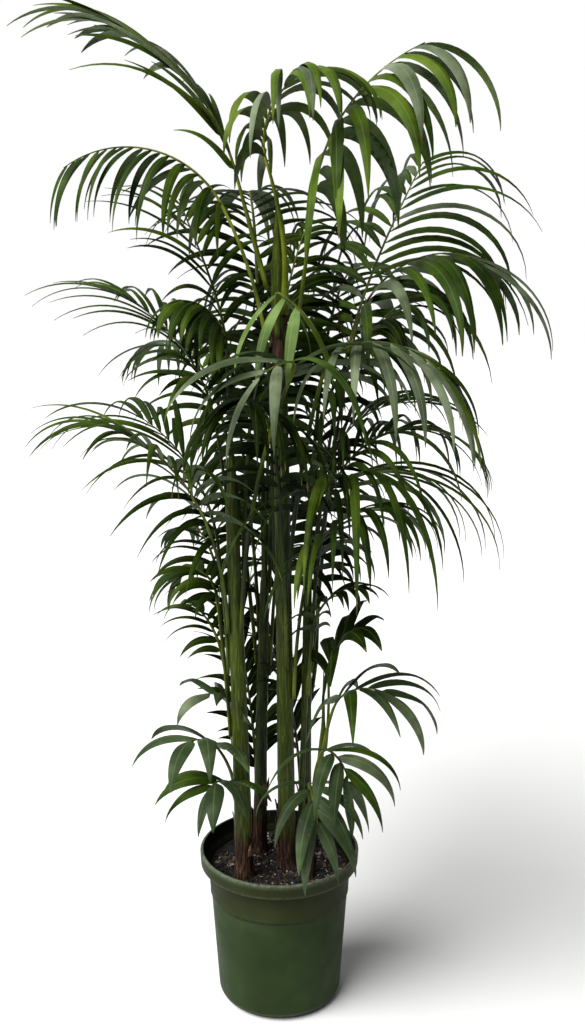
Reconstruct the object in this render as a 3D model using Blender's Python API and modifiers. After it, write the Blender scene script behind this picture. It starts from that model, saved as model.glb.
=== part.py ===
"""Potted kentia palm: a clump of slim sheathed stems with arching feather fronds, in a nursery pot.

Units are metres and +Z is up. The origin is the centre of the pot's flat underside. A heading is measured
from +X towards +Y and a rise up from the level, both in degrees. The usual view looks along +Y.
"""

from collections import namedtuple
from math import atan2, cos, pi, radians, sin
from random import Random

import bmesh
import bpy
from mathutils import Quaternion, Vector
from mathutils.bvhtree import BVHTree

# Pot
POT_HEIGHT = 0.300
RIM_RADIUS = 0.150
RIM_DEPTH = 0.028
RIM_ROUNDING = 0.004
LIP_RADIUS = 0.1430
SHOULDER_RADIUS = 0.1350
SHOULDER_DROP = 0.005
RIDGE_HEIGHT = 0.224
RIDGE_STEP = 0.0012
FOOT_RADIUS = 0.117
FOOT_ROUNDING = 0.022
POT_WALL = 0.0032
POT_STEPS = 36
CORNER_STEPS = 3

# Soil
SOIL_LEVEL = 0.262
CLEARANCE = 0.0003

# Stems
STEM_ROUNDNESS = 3
STEM_RINGS = 7
FLARE_HEIGHT = 0.045
FLARE_GAIN = 0.28
UPRIGHT_FOOT = 0.004
LEAN_GROWTH = 1.3

# Petioles and ribs have a three-sided section, flat above and keeled below
PETIOLE_STEPS = 5
RIB_NECK = 0.0036
RIB_TIP = 0.0012
CREST = 0.5
SPLIT_PETIOLE = 0.46
SPLIT_BEND = 45.0
CLASP_SHARE = 0.4

# Leaflets
THICKNESS_RATIO = 0.011
LEAST_THICKNESS = 0.0014
FULLEST_AT = 0.35
NECK_SHORTENING = 0.35
TIP_SHORTENING = 0.30
TIP_SPREAD = 24.0
SAG_GROWTH = 1.2
FLATTENING = 0.75
WIDEST_AT = 0.34
SECOND_BEND_AT = 0.68
SECOND_BEND_WIDTH = 0.66
LONG_LEAFLET = 0.15
COLLAR_AT = 0.07
COLLAR_WIDTH = 0.55
SPACE = 0.0012
ANGLE_JITTER = 7.0
LENGTH_JITTER = 0.18
SEED = 11

# Second choices for a leaflet whose place is taken: change of lift in degrees and share of its length
CHOICES = ((0, 1.0), (9, 1.0), (-9, 1.0), (18, 1.0), (-18, 1.0), (0, 0.75), (12, 0.75), (-12, 0.75))

Stem = namedtuple("Stem", "name foot top height radius tip_radius")

STEMS = (
    Stem("stem_left", (-0.066, -0.045), (-0.082, -0.034), 0.98, 0.0175, 0.0115),
    Stem("stem_middle", (0.014, 0.000), (0.000, 0.000), 1.38, 0.0170, 0.0125),
    Stem("stem_rear", (-0.038, 0.055), (-0.026, 0.060), 0.80, 0.0140, 0.0085),
    Stem("stem_right", (0.050, 0.060), (0.054, 0.064), 0.78, 0.0125, 0.0080),
    Stem("stem_slim_right", (0.040, 0.024), (0.056, 0.010), 0.80, 0.0065, 0.0045),
    Stem("stem_young_right", (0.058, -0.045), (0.080, -0.052), 0.56, 0.0070, 0.0045),
    Stem("stem_young_left", (-0.076, 0.006), (-0.084, 0.002), 0.58, 0.0060, 0.0040),
)

# A frond's foot is its height on the stem and the bearing of the side where it clasps the stem
Frond = namedtuple(
    "Frond",
    "name stem foot clasp heading turn petiole blade rise neck tip"
    " pairs leaflet width spread lift droop roll girth",
    defaults=(10, 0.32, 0.023, 64, 16, 90, 0, 0.0045),
)

FRONDS = (
    Frond(
        "frond_front_centre", "stem_middle", 1.26, -100,
        -90, 40, 0.11, 0.15, 79, 14, -38, 3, 0.19, 0.030, lift=-35, droop=130,
    ),
    Frond(
        "frond_front_left", "stem_left", 0.72, -60,
        -62, -101, 0.53, 0.16, 89, 51, -39, 4, 0.28, 0.028, droop=95,
    ),
    Frond(
        "frond_right_front", "stem_middle", 0.72, -70,
        -65, 69, 0.50, 0.30, 89, 61, -61, 6, 0.27, 0.026, lift=-5, droop=110,
    ),
    Frond(
        "frond_crest", "stem_middle", 1.30, -60, -9, -40, 0.25, 0.21, 85, 108, -3, 9, 0.26, 0.027,
        lift=5, droop=145, girth=0.0085,
    ),
    Frond(
        "frond_top_left", "stem_middle", 1.34, 180, 163, 7, 0.20, 0.34, 74, 74, 25, 12, 0.30, 0.030,
        spread=27, lift=0, droop=55, girth=0.0075,
    ),
    Frond(
        "frond_top_right", "stem_middle", 1.20, 0, -14, -4, 0.30, 0.31, 81, 83, 21, 10, 0.33, 0.030,
        lift=-5, droop=140, girth=0.0065,
    ),
    Frond(
        "frond_upper_left", "stem_middle", 1.16, 200,
        197, -11, 0.33, 0.30, 89, 62, -36, 10, 0.19, 0.019, lift=-20, droop=118, girth=0.0060,
    ),
    Frond(
        "frond_drooping_left", "stem_left", 0.94, 60,
        205, 12, 0.30, 0.14, 83, 89, -2, 5, 0.15, 0.026, lift=-35, droop=150,
    ),
    Frond(
        "frond_upper_right", "stem_right", 0.74, 10, 28, 32, 0.49, 0.41, 89, 75, 40, 11, 0.40, 0.022,
        spread=74, lift=0, droop=120,
    ),
    Frond(
        "frond_far_right", "stem_right", 0.68, -50, 0, -51, 0.59, 0.31, 86, 79, -26, 7, 0.34, 0.028,
        lift=-5, droop=120,
    ),
    Frond(
        "frond_rear_left", "stem_rear", 0.70, 130, 161, -50, 0.56, 0.28, 87, 80, 41, 7, 0.27, 0.018,
        droop=70,
    ),
    Frond(
        "frond_left", "stem_left", 0.80, 100, 162, 1, 0.31, 0.28, 88, 80, 26, 8, 0.30, 0.018,
        spread=70, droop=62,
    ),
    Frond(
        "frond_lower_left", "stem_left", 0.66, 180, 149, -1, 0.24, 0.28, 89, 82, 23, 8, 0.34, 0.018,
        spread=70, droop=76,
    ),
    Frond(
        "frond_lower_left_front", "stem_left", 0.74, -150,
        216, -15, 0.21, 0.23, 89, 68, 30, 8, 0.32, 0.018, spread=70, droop=80,
    ),
    Frond(
        "frond_right", "stem_right", 0.62, 50, -10, 28, 0.38, 0.20, 83, 87, 6, 7, 0.30, 0.017,
        droop=85,
    ),
    Frond(
        "frond_middle_right", "stem_slim_right", 0.74, -30,
        10, 11, 0.23, 0.23, 87, 78, -7, 8, 0.36, 0.018, droop=125,
    ),
    Frond(
        "frond_lower_right", "stem_right", 0.56, -110,
        -62, 35, 0.38, 0.23, 89, 74, -15, 6, 0.42, 0.022, lift=8, droop=135,
    ),
    Frond(
        "frond_low_right_front", "stem_middle", 0.60, -30,
        -41, 7, 0.24, 0.23, 89, 77, 13, 7, 0.28, 0.022, lift=5, droop=120,
    ),
    Frond("frond_back_high", "stem_rear", 0.74, 90, 95, 0, 0.62, 0.38, 87, 68, -10, 9, 0.30),
    Frond("frond_back_left", "stem_rear", 0.64, 150, 118, 0, 0.45, 0.36, 86, 64, -15, 9, 0.24),
    Frond("frond_back_right", "stem_right", 0.66, 100, 72, 0, 0.55, 0.38, 86, 66, -5, 9, 0.22),
    Frond("frond_back_low", "stem_rear", 0.56, 60, 96, 0, 0.30, 0.30, 84, 60, -30, 9, 0.25),
    Frond("frond_back_low_right", "stem_right", 0.58, 40, 84, 0, 0.20, 0.26, 78, 55, -30, 6, 0.14),
    Frond("frond_back_low_left", "stem_left", 0.60, 120, 110, 0, 0.18, 0.28, 84, 62, -20, 7, 0.16),
    Frond(
        "frond_core_high", "stem_rear", 0.78, 40, 70, 0, 0.34, 0.40, 88, 84, 35, 9, 0.28,
        spread=50, lift=-10, droop=135,
    ),
    Frond(
        "frond_core_middle", "stem_middle", 0.84, 140, 102, 0, 0.28, 0.36, 88, 80, 15, 9, 0.28,
        spread=50, lift=-10, droop=135,
    ),
    Frond(
        "frond_core_left", "stem_left", 0.84, 20, 60, 0, 0.24, 0.34, 88, 82, 20, 8, 0.26,
        spread=50, lift=-10, droop=135,
    ),
    Frond(
        "frond_core_front", "stem_middle", 0.66, -80, -105, 0, 0.34, 0.30, 82, 78, 10, 8, 0.26,
        spread=45, lift=-10, droop=135,
    ),
    Frond(
        "frond_core_right", "stem_right", 0.76, -90, -25, 0, 0.30, 0.34, 88, 84, 30, 8, 0.24,
        spread=50, lift=-10, droop=135,
    ),
    Frond(
        "frond_core_low", "stem_rear", 0.62, 20, 45, 0, 0.16, 0.34, 86, 84, 25, 9, 0.24,
        spread=50, lift=-10, droop=135,
    ),
    Frond(
        "frond_core_rear", "stem_rear", 0.68, 80, 85, 0, 0.22, 0.34, 80, 82, 25, 9, 0.26, 0.026,
        spread=50, lift=-10, droop=135,
    ),
    Frond(
        "frond_short_left", "stem_left", 0.54, 170, 135, 18, 0.26, 0.12, 87, 80, -53, 6, 0.15, 0.020,
        droop=100,
    ),
    Frond(
        "frond_short_left_rear", "stem_young_left", 0.56, 150,
        126, 8, 0.12, 0.13, 87, 67, 6, 4, 0.13, 0.020,
    ),
    Frond(
        "frond_short_right", "stem_slim_right", 0.60, -60,
        -38, 0, 0.12, 0.16, 86, 84, 10, 5, 0.11, 0.020,
    ),
    Frond(
        "frond_inner_left", "stem_rear", 0.34, 110, 120, 0, 0.08, 0.32, 86, 86, 62, 8, 0.15, 0.026,
        spread=34, droop=60,
    ),
    Frond(
        "frond_inner_right", "stem_right", 0.36, 120, 150, 0, 0.10, 0.28, 86, 84, 62, 8, 0.14, 0.026,
        spread=34, droop=60,
    ),
    Frond(
        "frond_young_right_high", "stem_young_right", 0.52, 0,
        0, -4, 0.13, 0.11, 84, 92, 39, 4, 0.19, 0.038,
    ),
    Frond(
        "frond_young_right", "stem_young_right", 0.46, -65,
        -36, 27, 0.15, 0.12, 87, 71, -23, 4, 0.24, 0.028,
    ),
    Frond(
        "frond_young_right_low", "stem_young_right", 0.42, -110,
        -73, 42, 0.13, 0.11, 89, 46, -94, 4, 0.18, 0.028, droop=110,
    ),
    Frond(
        "frond_young_front", "stem_young_right", 0.37, -120,
        -94, 32, 0.13, 0.11, 88, 36, -89, 4, 0.19, 0.028, droop=110,
    ),
    Frond(
        "frond_young_left_high", "stem_young_left", 0.50, 240,
        191, -3, 0.07, 0.07, 83, 90, -5, 2, 0.15, 0.034,
    ),
    Frond(
        "frond_young_left", "stem_young_left", 0.42, 235,
        222, 0, 0.10, 0.08, 80, 54, 0, 2, 0.20, 0.040,
    ),
    Frond(
        "frond_young_left_front", "stem_young_left", 0.37, 260,
        245, -15, 0.09, 0.07, 80, 46, -30, 3, 0.17, 0.036,
    ),
)

Station = namedtuple("Station", "place along side up")
Section = namedtuple("Section", "place across normal")


def lerp(low, high, share):
    return low + (high - low) * share


def bearing(heading, rise):
    """Unit vector at a heading and a rise."""
    level = cos(radians(rise))
    return Vector((level * cos(radians(heading)), level * sin(radians(heading)), sin(radians(rise))))


# Scene


def clear_scene():
    for obj in list(bpy.data.objects):
        bpy.data.objects.remove(obj, do_unlink=True)


def linear(channel):
    return channel / 12.92 if channel <= 0.04045 else ((channel + 0.055) / 1.055) ** 2.4


def make_material(name, colour, roughness):
    """A plain surface from an sRGB hex colour and a roughness."""
    material = bpy.data.materials.new(name)
    material.use_nodes = True
    shader = material.node_tree.nodes["Principled BSDF"]
    channels = [linear(int(colour[place : place + 2], 16) / 255) for place in (1, 3, 5)]
    shader.inputs["Base Color"].default_value = (*channels, 1.0)
    shader.inputs["Roughness"].default_value = roughness
    shader.inputs["Metallic"].default_value = 0.0
    return material


def add_object(name, mesh, collection, parent, material, place=(0, 0, 0)):
    obj = bpy.data.objects.new(name, mesh)
    obj.location = place
    obj.parent = parent
    collection.objects.link(obj)
    mesh.materials.append(material)
    return obj


def mesh_from(bm, name, origin=(0, 0, 0)):
    """The finished mesh, with its points measured from the object's own origin."""
    bmesh.ops.translate(bm, verts=bm.verts, vec=-Vector(origin))
    mesh = bpy.data.meshes.new(name)
    bm.to_mesh(mesh)
    bm.free()
    return mesh


# Pot and soil


def arc(centre, radius, start, end, steps):
    """Points of an arc in the profile plane, its angles in degrees from +X."""
    angles = [radians(lerp(start, end, step / steps)) for step in range(steps + 1)]
    return [(centre[0] + radius * cos(angle), centre[1] + radius * sin(angle)) for angle in angles]


def pot_radius(height):
    """Outer radius of the tapered wall between the foot's rounding and the shoulder."""
    shoulder = POT_HEIGHT - RIM_DEPTH - SHOULDER_DROP
    share = (height - FOOT_ROUNDING) / (shoulder - FOOT_ROUNDING)
    return lerp(FOOT_RADIUS, SHOULDER_RADIUS, share)


def pot_profile():
    """Half section of the pot, up the inside, over the rolled rim and down the outside."""
    rim_base = POT_HEIGHT - RIM_DEPTH
    shoulder = rim_base - SHOULDER_DROP
    foot_centre = (FOOT_RADIUS - FOOT_ROUNDING, FOOT_ROUNDING)
    inner_foot = arc(foot_centre, FOOT_ROUNDING - POT_WALL, -90, 0, CORNER_STEPS)
    inside = [(0, POT_WALL), *inner_foot, (SHOULDER_RADIUS - POT_WALL, shoulder)]
    lip = [(LIP_RADIUS, rim_base + RIM_ROUNDING), (LIP_RADIUS, POT_HEIGHT - RIM_ROUNDING / 2)]
    roll_centre = (RIM_RADIUS - RIM_ROUNDING, POT_HEIGHT - RIM_ROUNDING)
    roll = arc(roll_centre, RIM_ROUNDING, 90, 0, CORNER_STEPS)
    band = [(RIM_RADIUS - RIDGE_STEP, rim_base), (SHOULDER_RADIUS, shoulder)]
    ridge = [
        (pot_radius(RIDGE_HEIGHT + RIDGE_STEP), RIDGE_HEIGHT + RIDGE_STEP),
        (pot_radius(RIDGE_HEIGHT) - RIDGE_STEP, RIDGE_HEIGHT - RIDGE_STEP),
    ]
    foot = arc(foot_centre, FOOT_ROUNDING, 0, -90, CORNER_STEPS)
    return inside + lip + roll + band + ridge + foot + [(0, 0)]


def soil_profile():
    """Half section of the soil, down its outer side, clear of the pot by a hair."""
    shoulder = POT_HEIGHT - RIM_DEPTH - SHOULDER_DROP
    share = (SOIL_LEVEL - FOOT_ROUNDING) / (shoulder - FOOT_ROUNDING)
    top_radius = lerp(FOOT_RADIUS, SHOULDER_RADIUS, share) - POT_WALL - CLEARANCE
    foot_centre = (FOOT_RADIUS - FOOT_ROUNDING, FOOT_ROUNDING)
    foot = arc(foot_centre, FOOT_ROUNDING - POT_WALL - CLEARANCE, 0, -90, CORNER_STEPS)
    return [(0, SOIL_LEVEL), (top_radius, SOIL_LEVEL), *foot, (0, POT_WALL + CLEARANCE)]


def turned_mesh(name, profile):
    mesh = bpy.data.meshes.new(name)
    points = [(radius, 0, height) for radius, height in profile]
    mesh.from_pydata(points, [(place, place + 1) for place in range(len(points) - 1)], [])
    return mesh


def turn(obj):
    """Spin the object's profile round its upright axis."""
    screw = obj.modifiers.new("Turned", "SCREW")
    screw.axis = "Z"
    screw.steps = POT_STEPS
    screw.render_steps = POT_STEPS
    screw.use_merge_vertices = True
    screw.merge_threshold = CLEARANCE / 10
    screw.use_smooth_shade = True


# Stems


def stem_centre(stem, height):
    """Point of the stem's axis at a height; it leaves the soil upright and leans more as it climbs."""
    share = max(0.0, (height - SOIL_LEVEL - UPRIGHT_FOOT) / (stem.height - SOIL_LEVEL - UPRIGHT_FOOT))
    lean = share**LEAN_GROWTH
    return Vector((lerp(stem.foot[0], stem.top[0], lean), lerp(stem.foot[1], stem.top[1], lean), height))


def stem_radius(stem, height):
    """Taper from the foot to the fork, with the root flare over the lowest few centimetres."""
    share = (height - SOIL_LEVEL) / (stem.height - SOIL_LEVEL)
    flare = max(0.0, 1 - (height - SOIL_LEVEL) / FLARE_HEIGHT) ** 2
    return lerp(stem.radius, stem.tip_radius, share) * (1 + FLARE_GAIN * flare)


def stem_heights(stem):
    """Close rings over the flare, then even ones up to the fork."""
    foot = SOIL_LEVEL + CLEARANCE
    flare = [foot, SOIL_LEVEL + UPRIGHT_FOOT, SOIL_LEVEL + FLARE_HEIGHT / 3, SOIL_LEVEL + FLARE_HEIGHT]
    above = [lerp(flare[-1], stem.height, ring / STEM_RINGS) for ring in range(1, STEM_RINGS + 1)]
    return flare + above


def stem_mesh(stem):
    """A tapering round tube along the stem's axis, as a closed mesh."""
    curve = bpy.data.curves.new(stem.name, "CURVE")
    curve.dimensions = "3D"
    curve.bevel_depth = stem.radius
    curve.bevel_resolution = STEM_ROUNDNESS
    curve.use_fill_caps = True
    heights = stem_heights(stem)
    spline = curve.splines.new("POLY")
    spline.points.add(len(heights) - 1)
    for point, height in zip(spline.points, heights):
        point.co = (*stem_centre(stem, height), 1)
        point.radius = stem_radius(stem, height) / stem.radius
    guide = bpy.data.objects.new(stem.name, curve)
    bpy.context.scene.collection.objects.link(guide)
    mesh = bpy.data.meshes.new_from_object(guide.evaluated_get(bpy.context.evaluated_depsgraph_get()))
    bpy.data.objects.remove(guide, do_unlink=True)
    bm = bmesh.new()
    bm.from_mesh(mesh)
    bmesh.ops.remove_doubles(bm, verts=bm.verts, dist=CLEARANCE / 10)
    bm.to_mesh(mesh)
    bm.free()
    mesh.name = stem.name
    return mesh


# Fronds: the axis


def rise_at(frond, length):
    """Rise of the frond's axis at a length from its foot."""
    if length < frond.petiole:
        return lerp(frond.rise, frond.neck, length / frond.petiole)
    return lerp(frond.neck, frond.tip, (length - frond.petiole) / frond.blade)


def heading_at(frond, length):
    """Heading of the axis: it swings from the clasp soon after the foot and turns over the blade."""
    swing = (frond.heading - frond.clasp + 180) % 360 - 180
    left_over = max(0.0, 1 - length / (frond.petiole * CLASP_SHARE))
    return frond.heading - swing * left_over + frond.turn * max(0.0, length - frond.petiole) / frond.blade


def stations(frond, foot):
    """Places along the petiole and the blade, with the axis, side and upper directions at each."""
    petiole = [frond.petiole * step / PETIOLE_STEPS for step in range(PETIOLE_STEPS + 1)]
    count = 2 * frond.pairs + 1
    blade = [frond.petiole + frond.blade * step / count for step in range(1, count + 1)]
    place = foot.copy()
    reached = 0.0
    found = []
    for length in petiole + blade:
        middle = (reached + length) / 2
        place = place + bearing(heading_at(frond, middle), rise_at(frond, middle)) * (length - reached)
        reached = length
        along = bearing(heading_at(frond, length), rise_at(frond, length))
        level = bearing(heading_at(frond, length) + 90, 0)
        share = max(0.0, length - frond.petiole) / frond.blade
        side = Quaternion(along, radians(frond.roll * share)) @ level
        found.append(Station(place, along, side, along.cross(side)))
    return found


def half_width(frond, index, last):
    """The petiole thins from its girth to the neck, and the rib from the neck to its tip."""
    if index <= PETIOLE_STEPS:
        return lerp(frond.girth, RIB_NECK, index / PETIOLE_STEPS)
    return lerp(RIB_NECK, RIB_TIP, (index - PETIOLE_STEPS) / (last - PETIOLE_STEPS))


def rib_corners(station, half):
    """Right, left and keel corners of the rib's section."""
    crest = station.place + station.up * half * CREST
    return (crest + station.side * half, crest - station.side * half, station.place - station.up * half)


def seat_distance(stem, tree, height, heading, half):
    """How far from the stem's axis its surface stands, over the width of the petiole's foot."""
    outward = bearing(heading, 0)
    side = bearing(heading + 90, 0)
    reach = 0.0
    for share in (-1, -0.5, 0, 0.5, 1):
        start = stem_centre(stem, height) + side * half * share + outward * stem.radius * 3
        hit = tree.ray_cast(start, -outward)[0]
        if hit is not None:
            reach = max(reach, (hit - stem_centre(stem, height)).dot(outward))
    return reach


# Fronds: the solids


def first_prism(bm, lower, upper):
    """A closed three-sided prism between two sections. Returns its rings, each right, left and keel."""
    made = bmesh.ops.create_cone(bm, cap_ends=True, segments=3, radius1=1, radius2=1, depth=2)["verts"]
    rings = []
    for level, section in ((-1, lower), (1, upper)):
        ring = [vert for vert in made if vert.co.z * level > 0]
        ring.sort(key=lambda vert: (atan2(vert.co.y, vert.co.x) + 0.1) % (2 * pi))
        rings.append(ring)
    for ring, section in zip(rings, (lower, upper)):
        for vert, corner in zip(ring, section):
            vert.co = corner
    return rings


def extended(bm, ring, corners):
    """Extrude the end face of a ring and move its copy's corners. Returns the new ring in like order."""
    cap = bm.faces.get(ring)
    order = [ring.index(vert) for vert in cap.verts]
    copy = bmesh.ops.extrude_discrete_faces(bm, faces=[cap])["faces"][0]
    for vert, place in zip(copy.verts, order):
        vert.co = corners[place]
    named = dict(zip(order, copy.verts))
    return [named[place] for place in range(len(ring))]


def tube(bm, sections):
    """A closed three-sided tube through the sections. Returns its rings."""
    rings = first_prism(bm, sections[0], sections[1])
    for section in sections[2:]:
        rings.append(extended(bm, rings[-1], section))
    return rings


def leaflet_length(frond, share):
    """Longest a third of the way along the blade, shorter at the neck and shortest at the tip."""
    if share < FULLEST_AT:
        return frond.leaflet * (1 - NECK_SHORTENING * (1 - share / FULLEST_AT) ** 2)
    return frond.leaflet * (1 - TIP_SHORTENING * ((share - FULLEST_AT) / (1 - FULLEST_AT)) ** 1.5)


def leaflet_shape(length):
    """Share of the length and share of the width at each bend of a leaflet."""
    if length < LONG_LEAFLET:
        return ((WIDEST_AT, 1.0),)
    return ((WIDEST_AT, 1.0), (SECOND_BEND_AT, SECOND_BEND_WIDTH))


def leaflet_sections(root, station, hand, start, droop, length, width):
    """Sections of a leaflet at its collar and its bends, and its tip.

    The leaflet sags under its own weight in an upright plane, and turns its flat side up as it goes.
    """
    down = Vector((0, 0, -1))
    axis = start.cross(down).normalized()
    sag = min(radians(droop), start.angle(down))
    broad = (station.along - start * station.along.dot(start)).normalized()
    level = axis if axis.dot(broad) > 0 else -axis
    thickness = max(LEAST_THICKNESS, length * THICKNESS_RATIO) / 2
    place = root.copy()
    reached = 0.0
    found = []
    for share, breadth in ((COLLAR_AT, COLLAR_WIDTH), *leaflet_shape(length), (1.0, 0.0)):
        middle = (reached + share) / 2
        place = place + Quaternion(axis, sag * middle**SAG_GROWTH) @ start * ((share - reached) * length)
        reached = share
        turned = Quaternion(axis, sag * share**SAG_GROWTH)
        along = turned @ start
        across = turned @ broad
        across = across.lerp(level, FLATTENING * share)
        across = (across - along * across.dot(along)).normalized()
        normal = across.cross(along) * hand
        found.append(Section(place, across * width / 2 * breadth, normal * thickness))
    return found


def section_corners(section, pad=0.0):
    """Corners in the order near top, far top, far keel, near keel, grown by a pad on every side."""
    across = section.across + section.across.normalized() * pad
    normal = section.normal + section.normal.normalized() * pad
    return [
        section.place - across + normal,
        section.place + across + normal,
        section.place + across - normal,
        section.place - across - normal,
    ]


def envelope(first, sections, pad):
    """Search tree of a leaflet's skin from its first corners to its tip, grown by a pad."""
    corners = list(first)
    for section in sections[:-1]:
        corners += section_corners(section, pad)
    tip = sections[-1].place + (sections[-1].place - sections[-2].place).normalized() * pad
    corners.append(tip)
    faces = [(0, 1, 2, 3)]
    for ring in range(0, len(corners) - 5, 4):
        for place in range(4):
            following = (place + 1) % 4
            faces.append((ring + place, ring + following, ring + 4 + following, ring + 4 + place))
    last = len(corners) - 5
    faces += [(last + place, last + (place + 1) % 4, len(corners) - 1) for place in range(4)]
    return BVHTree.FromPolygons(corners, faces)


def grow_leaflet(bm, base, sections):
    """Extrude a side face of the rib through the leaflet's bends and draw its end to a point."""
    ring = base
    for section in sections[1:-1]:
        ring = extended(bm, ring, section_corners(section))
    tip = sections[-1].place
    ring = extended(bm, ring, [tip] * 4)
    bmesh.ops.pointmerge(bm, verts=ring, merge_co=tip)


def touches(tree, others):
    return any(tree.overlap(other) for other in others)


def search_tree(bm):
    """Search tree of a mesh that is still being made."""
    bm.verts.index_update()
    faces = [[vert.index for vert in face.verts] for face in bm.faces]
    return BVHTree.FromPolygons([vert.co.copy() for vert in bm.verts], faces)


class Growth:
    """A frond while it is made: its rib, the space it takes and the rings its leaflets start from."""

    def __init__(self, frond, stem, stem_tree):
        self.frond = frond
        self.random = Random(f"{SEED} {frond.name}")
        seat = seat_distance(stem, stem_tree, frond.foot, frond.clasp, frond.girth)
        outward = bearing(frond.clasp, 0)
        foot = stem_centre(stem, frond.foot) + outward * (seat + CLEARANCE + frond.girth * CREST)
        self.stations = stations(frond, foot)
        last = len(self.stations) - 1
        halves = [half_width(frond, index, last) for index in range(last + 1)]
        sections = [rib_corners(station, half) for station, half in zip(self.stations, halves)]
        self.blade = bmesh.new()
        self.petiole = None
        self.split = frond.petiole >= SPLIT_PETIOLE and frond.rise - frond.tip >= SPLIT_BEND
        if self.split:
            self.petiole = bmesh.new()
            tube(self.petiole, sections[: PETIOLE_STEPS + 1])
            gap = self.stations[PETIOLE_STEPS].along * CLEARANCE
            sections[PETIOLE_STEPS] = [corner + gap for corner in sections[PETIOLE_STEPS]]
            sections = sections[PETIOLE_STEPS:]
        rings = tube(self.blade, sections)
        self.rings = rings if self.split else rings[PETIOLE_STEPS:]
        self.rib_trees = [search_tree(self.blade)]
        if self.split:
            self.rib_trees.append(search_tree(self.petiole))
        self.skins = []

    def leaflet(self, index, hand, others):
        """Grow one leaflet from the rib's side between two rings, or skip it where no choice fits."""
        frond = self.frond
        share = (index + 0.5) / (len(self.rings) - 1)
        station = self.stations[PETIOLE_STEPS + index]
        corner = 0 if hand > 0 else 1
        near = self.rings[index]
        far = self.rings[index + 1]
        base = [near[corner], far[corner], far[2], near[2]]
        root = sum((vert.co for vert in base), Vector()) / 4
        spread = lerp(frond.spread, TIP_SPREAD, share) + self.random.uniform(-ANGLE_JITTER, ANGLE_JITTER)
        lift = frond.lift + self.random.uniform(-ANGLE_JITTER, ANGLE_JITTER)
        droop = frond.droop + 2 * self.random.uniform(-ANGLE_JITTER, ANGLE_JITTER)
        length = leaflet_length(frond, share) * (1 - LENGTH_JITTER * self.random.random())
        for change, kept in CHOICES:
            raised = radians(lift + change)
            outward = station.side * hand * cos(raised) + station.up * sin(raised)
            start = station.along * cos(radians(spread)) + outward * sin(radians(spread))
            start.normalize()
            sections = leaflet_sections(root, station, hand, start, droop, length * kept, frond.width)
            whole = envelope([vert.co for vert in base], sections[1:], SPACE)
            free_part = envelope(section_corners(sections[0], SPACE), sections[1:], SPACE)
            if touches(whole, others) or touches(free_part, self.rib_trees + self.skins):
                continue
            self.skins.append(envelope([vert.co for vert in base], sections[1:], 0.0))
            grow_leaflet(self.blade, base, sections)
            return


def build():
    """Make every part. All ribs come before the first leaflet, so that leaflets keep clear of them."""
    clear_scene()
    collection = bpy.data.collections.new("kentia_palm")
    bpy.context.scene.collection.children.link(collection)
    parent = bpy.data.objects.new("kentia_palm_origin", None)
    collection.objects.link(parent)
    plastic = make_material("moulded_green_polypropylene", "#3f5436", 0.55)
    earth = make_material("bark_compost", "#241a13", 0.95)
    sheath = make_material("sheathed_stem", "#56651f", 0.60)
    rib_green = make_material("petiole_green", "#5f7a2a", 0.45)
    leaf_green = make_material("leaflet_green", "#2c4a1b", 0.40)

    pot = add_object("pot", turned_mesh("pot", pot_profile()), collection, parent, plastic)
    soil = add_object("soil", turned_mesh("soil", soil_profile()), collection, parent, earth)
    turn(pot)
    turn(soil)
    graph = bpy.context.evaluated_depsgraph_get()
    solid_trees = [BVHTree.FromObject(pot, graph), BVHTree.FromObject(soil, graph)]

    stem_trees = {}
    for stem in STEMS:
        mesh = stem_mesh(stem)
        add_object(stem.name, mesh, collection, parent, sheath).data.shade_smooth()
        stem_trees[stem.name] = BVHTree.FromPolygons(
            [vert.co for vert in mesh.vertices], [polygon.vertices for polygon in mesh.polygons]
        )
    by_name = {stem.name: stem for stem in STEMS}
    growths = [Growth(frond, by_name[frond.stem], stem_trees[frond.stem]) for frond in FRONDS]
    solid_trees += list(stem_trees.values())

    for growth in growths:
        taken = list(solid_trees)
        for other in growths:
            if other is not growth:
                taken += other.rib_trees + other.skins
        for index in range(len(growth.rings) - 1):
            growth.leaflet(index, 1 if index % 2 == 0 else -1, taken)

    for growth in growths:
        name = growth.frond.name
        foot = growth.stations[0].place
        if growth.split:
            neck = growth.stations[PETIOLE_STEPS].place
            petiole_name = name.replace("frond", "petiole")
            mesh = mesh_from(growth.petiole, petiole_name, foot)
            add_object(petiole_name, mesh, collection, parent, rib_green, foot)
            foot = neck
        mesh = mesh_from(growth.blade, name, foot)
        add_object(name, mesh, collection, parent, leaf_green, foot)


build()
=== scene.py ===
"""Potted kentia palm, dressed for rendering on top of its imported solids.

Each piece is made by one operator of this add-on, and main() runs them in order. Units are metres and +Z is up.
The fronds follow the same rule as the solids: a rib bends over from its neck, and leaflets leave it in two ranks
and sag in an upright plane. Here they are more, narrower and smoother.
"""

from collections import namedtuple
from functools import lru_cache
from math import cos, hypot, pi, radians, sin, tau
from random import Random

import bpy
from bpy.props import FloatProperty, IntProperty, PointerProperty
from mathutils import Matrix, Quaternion, Vector, noise


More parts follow.
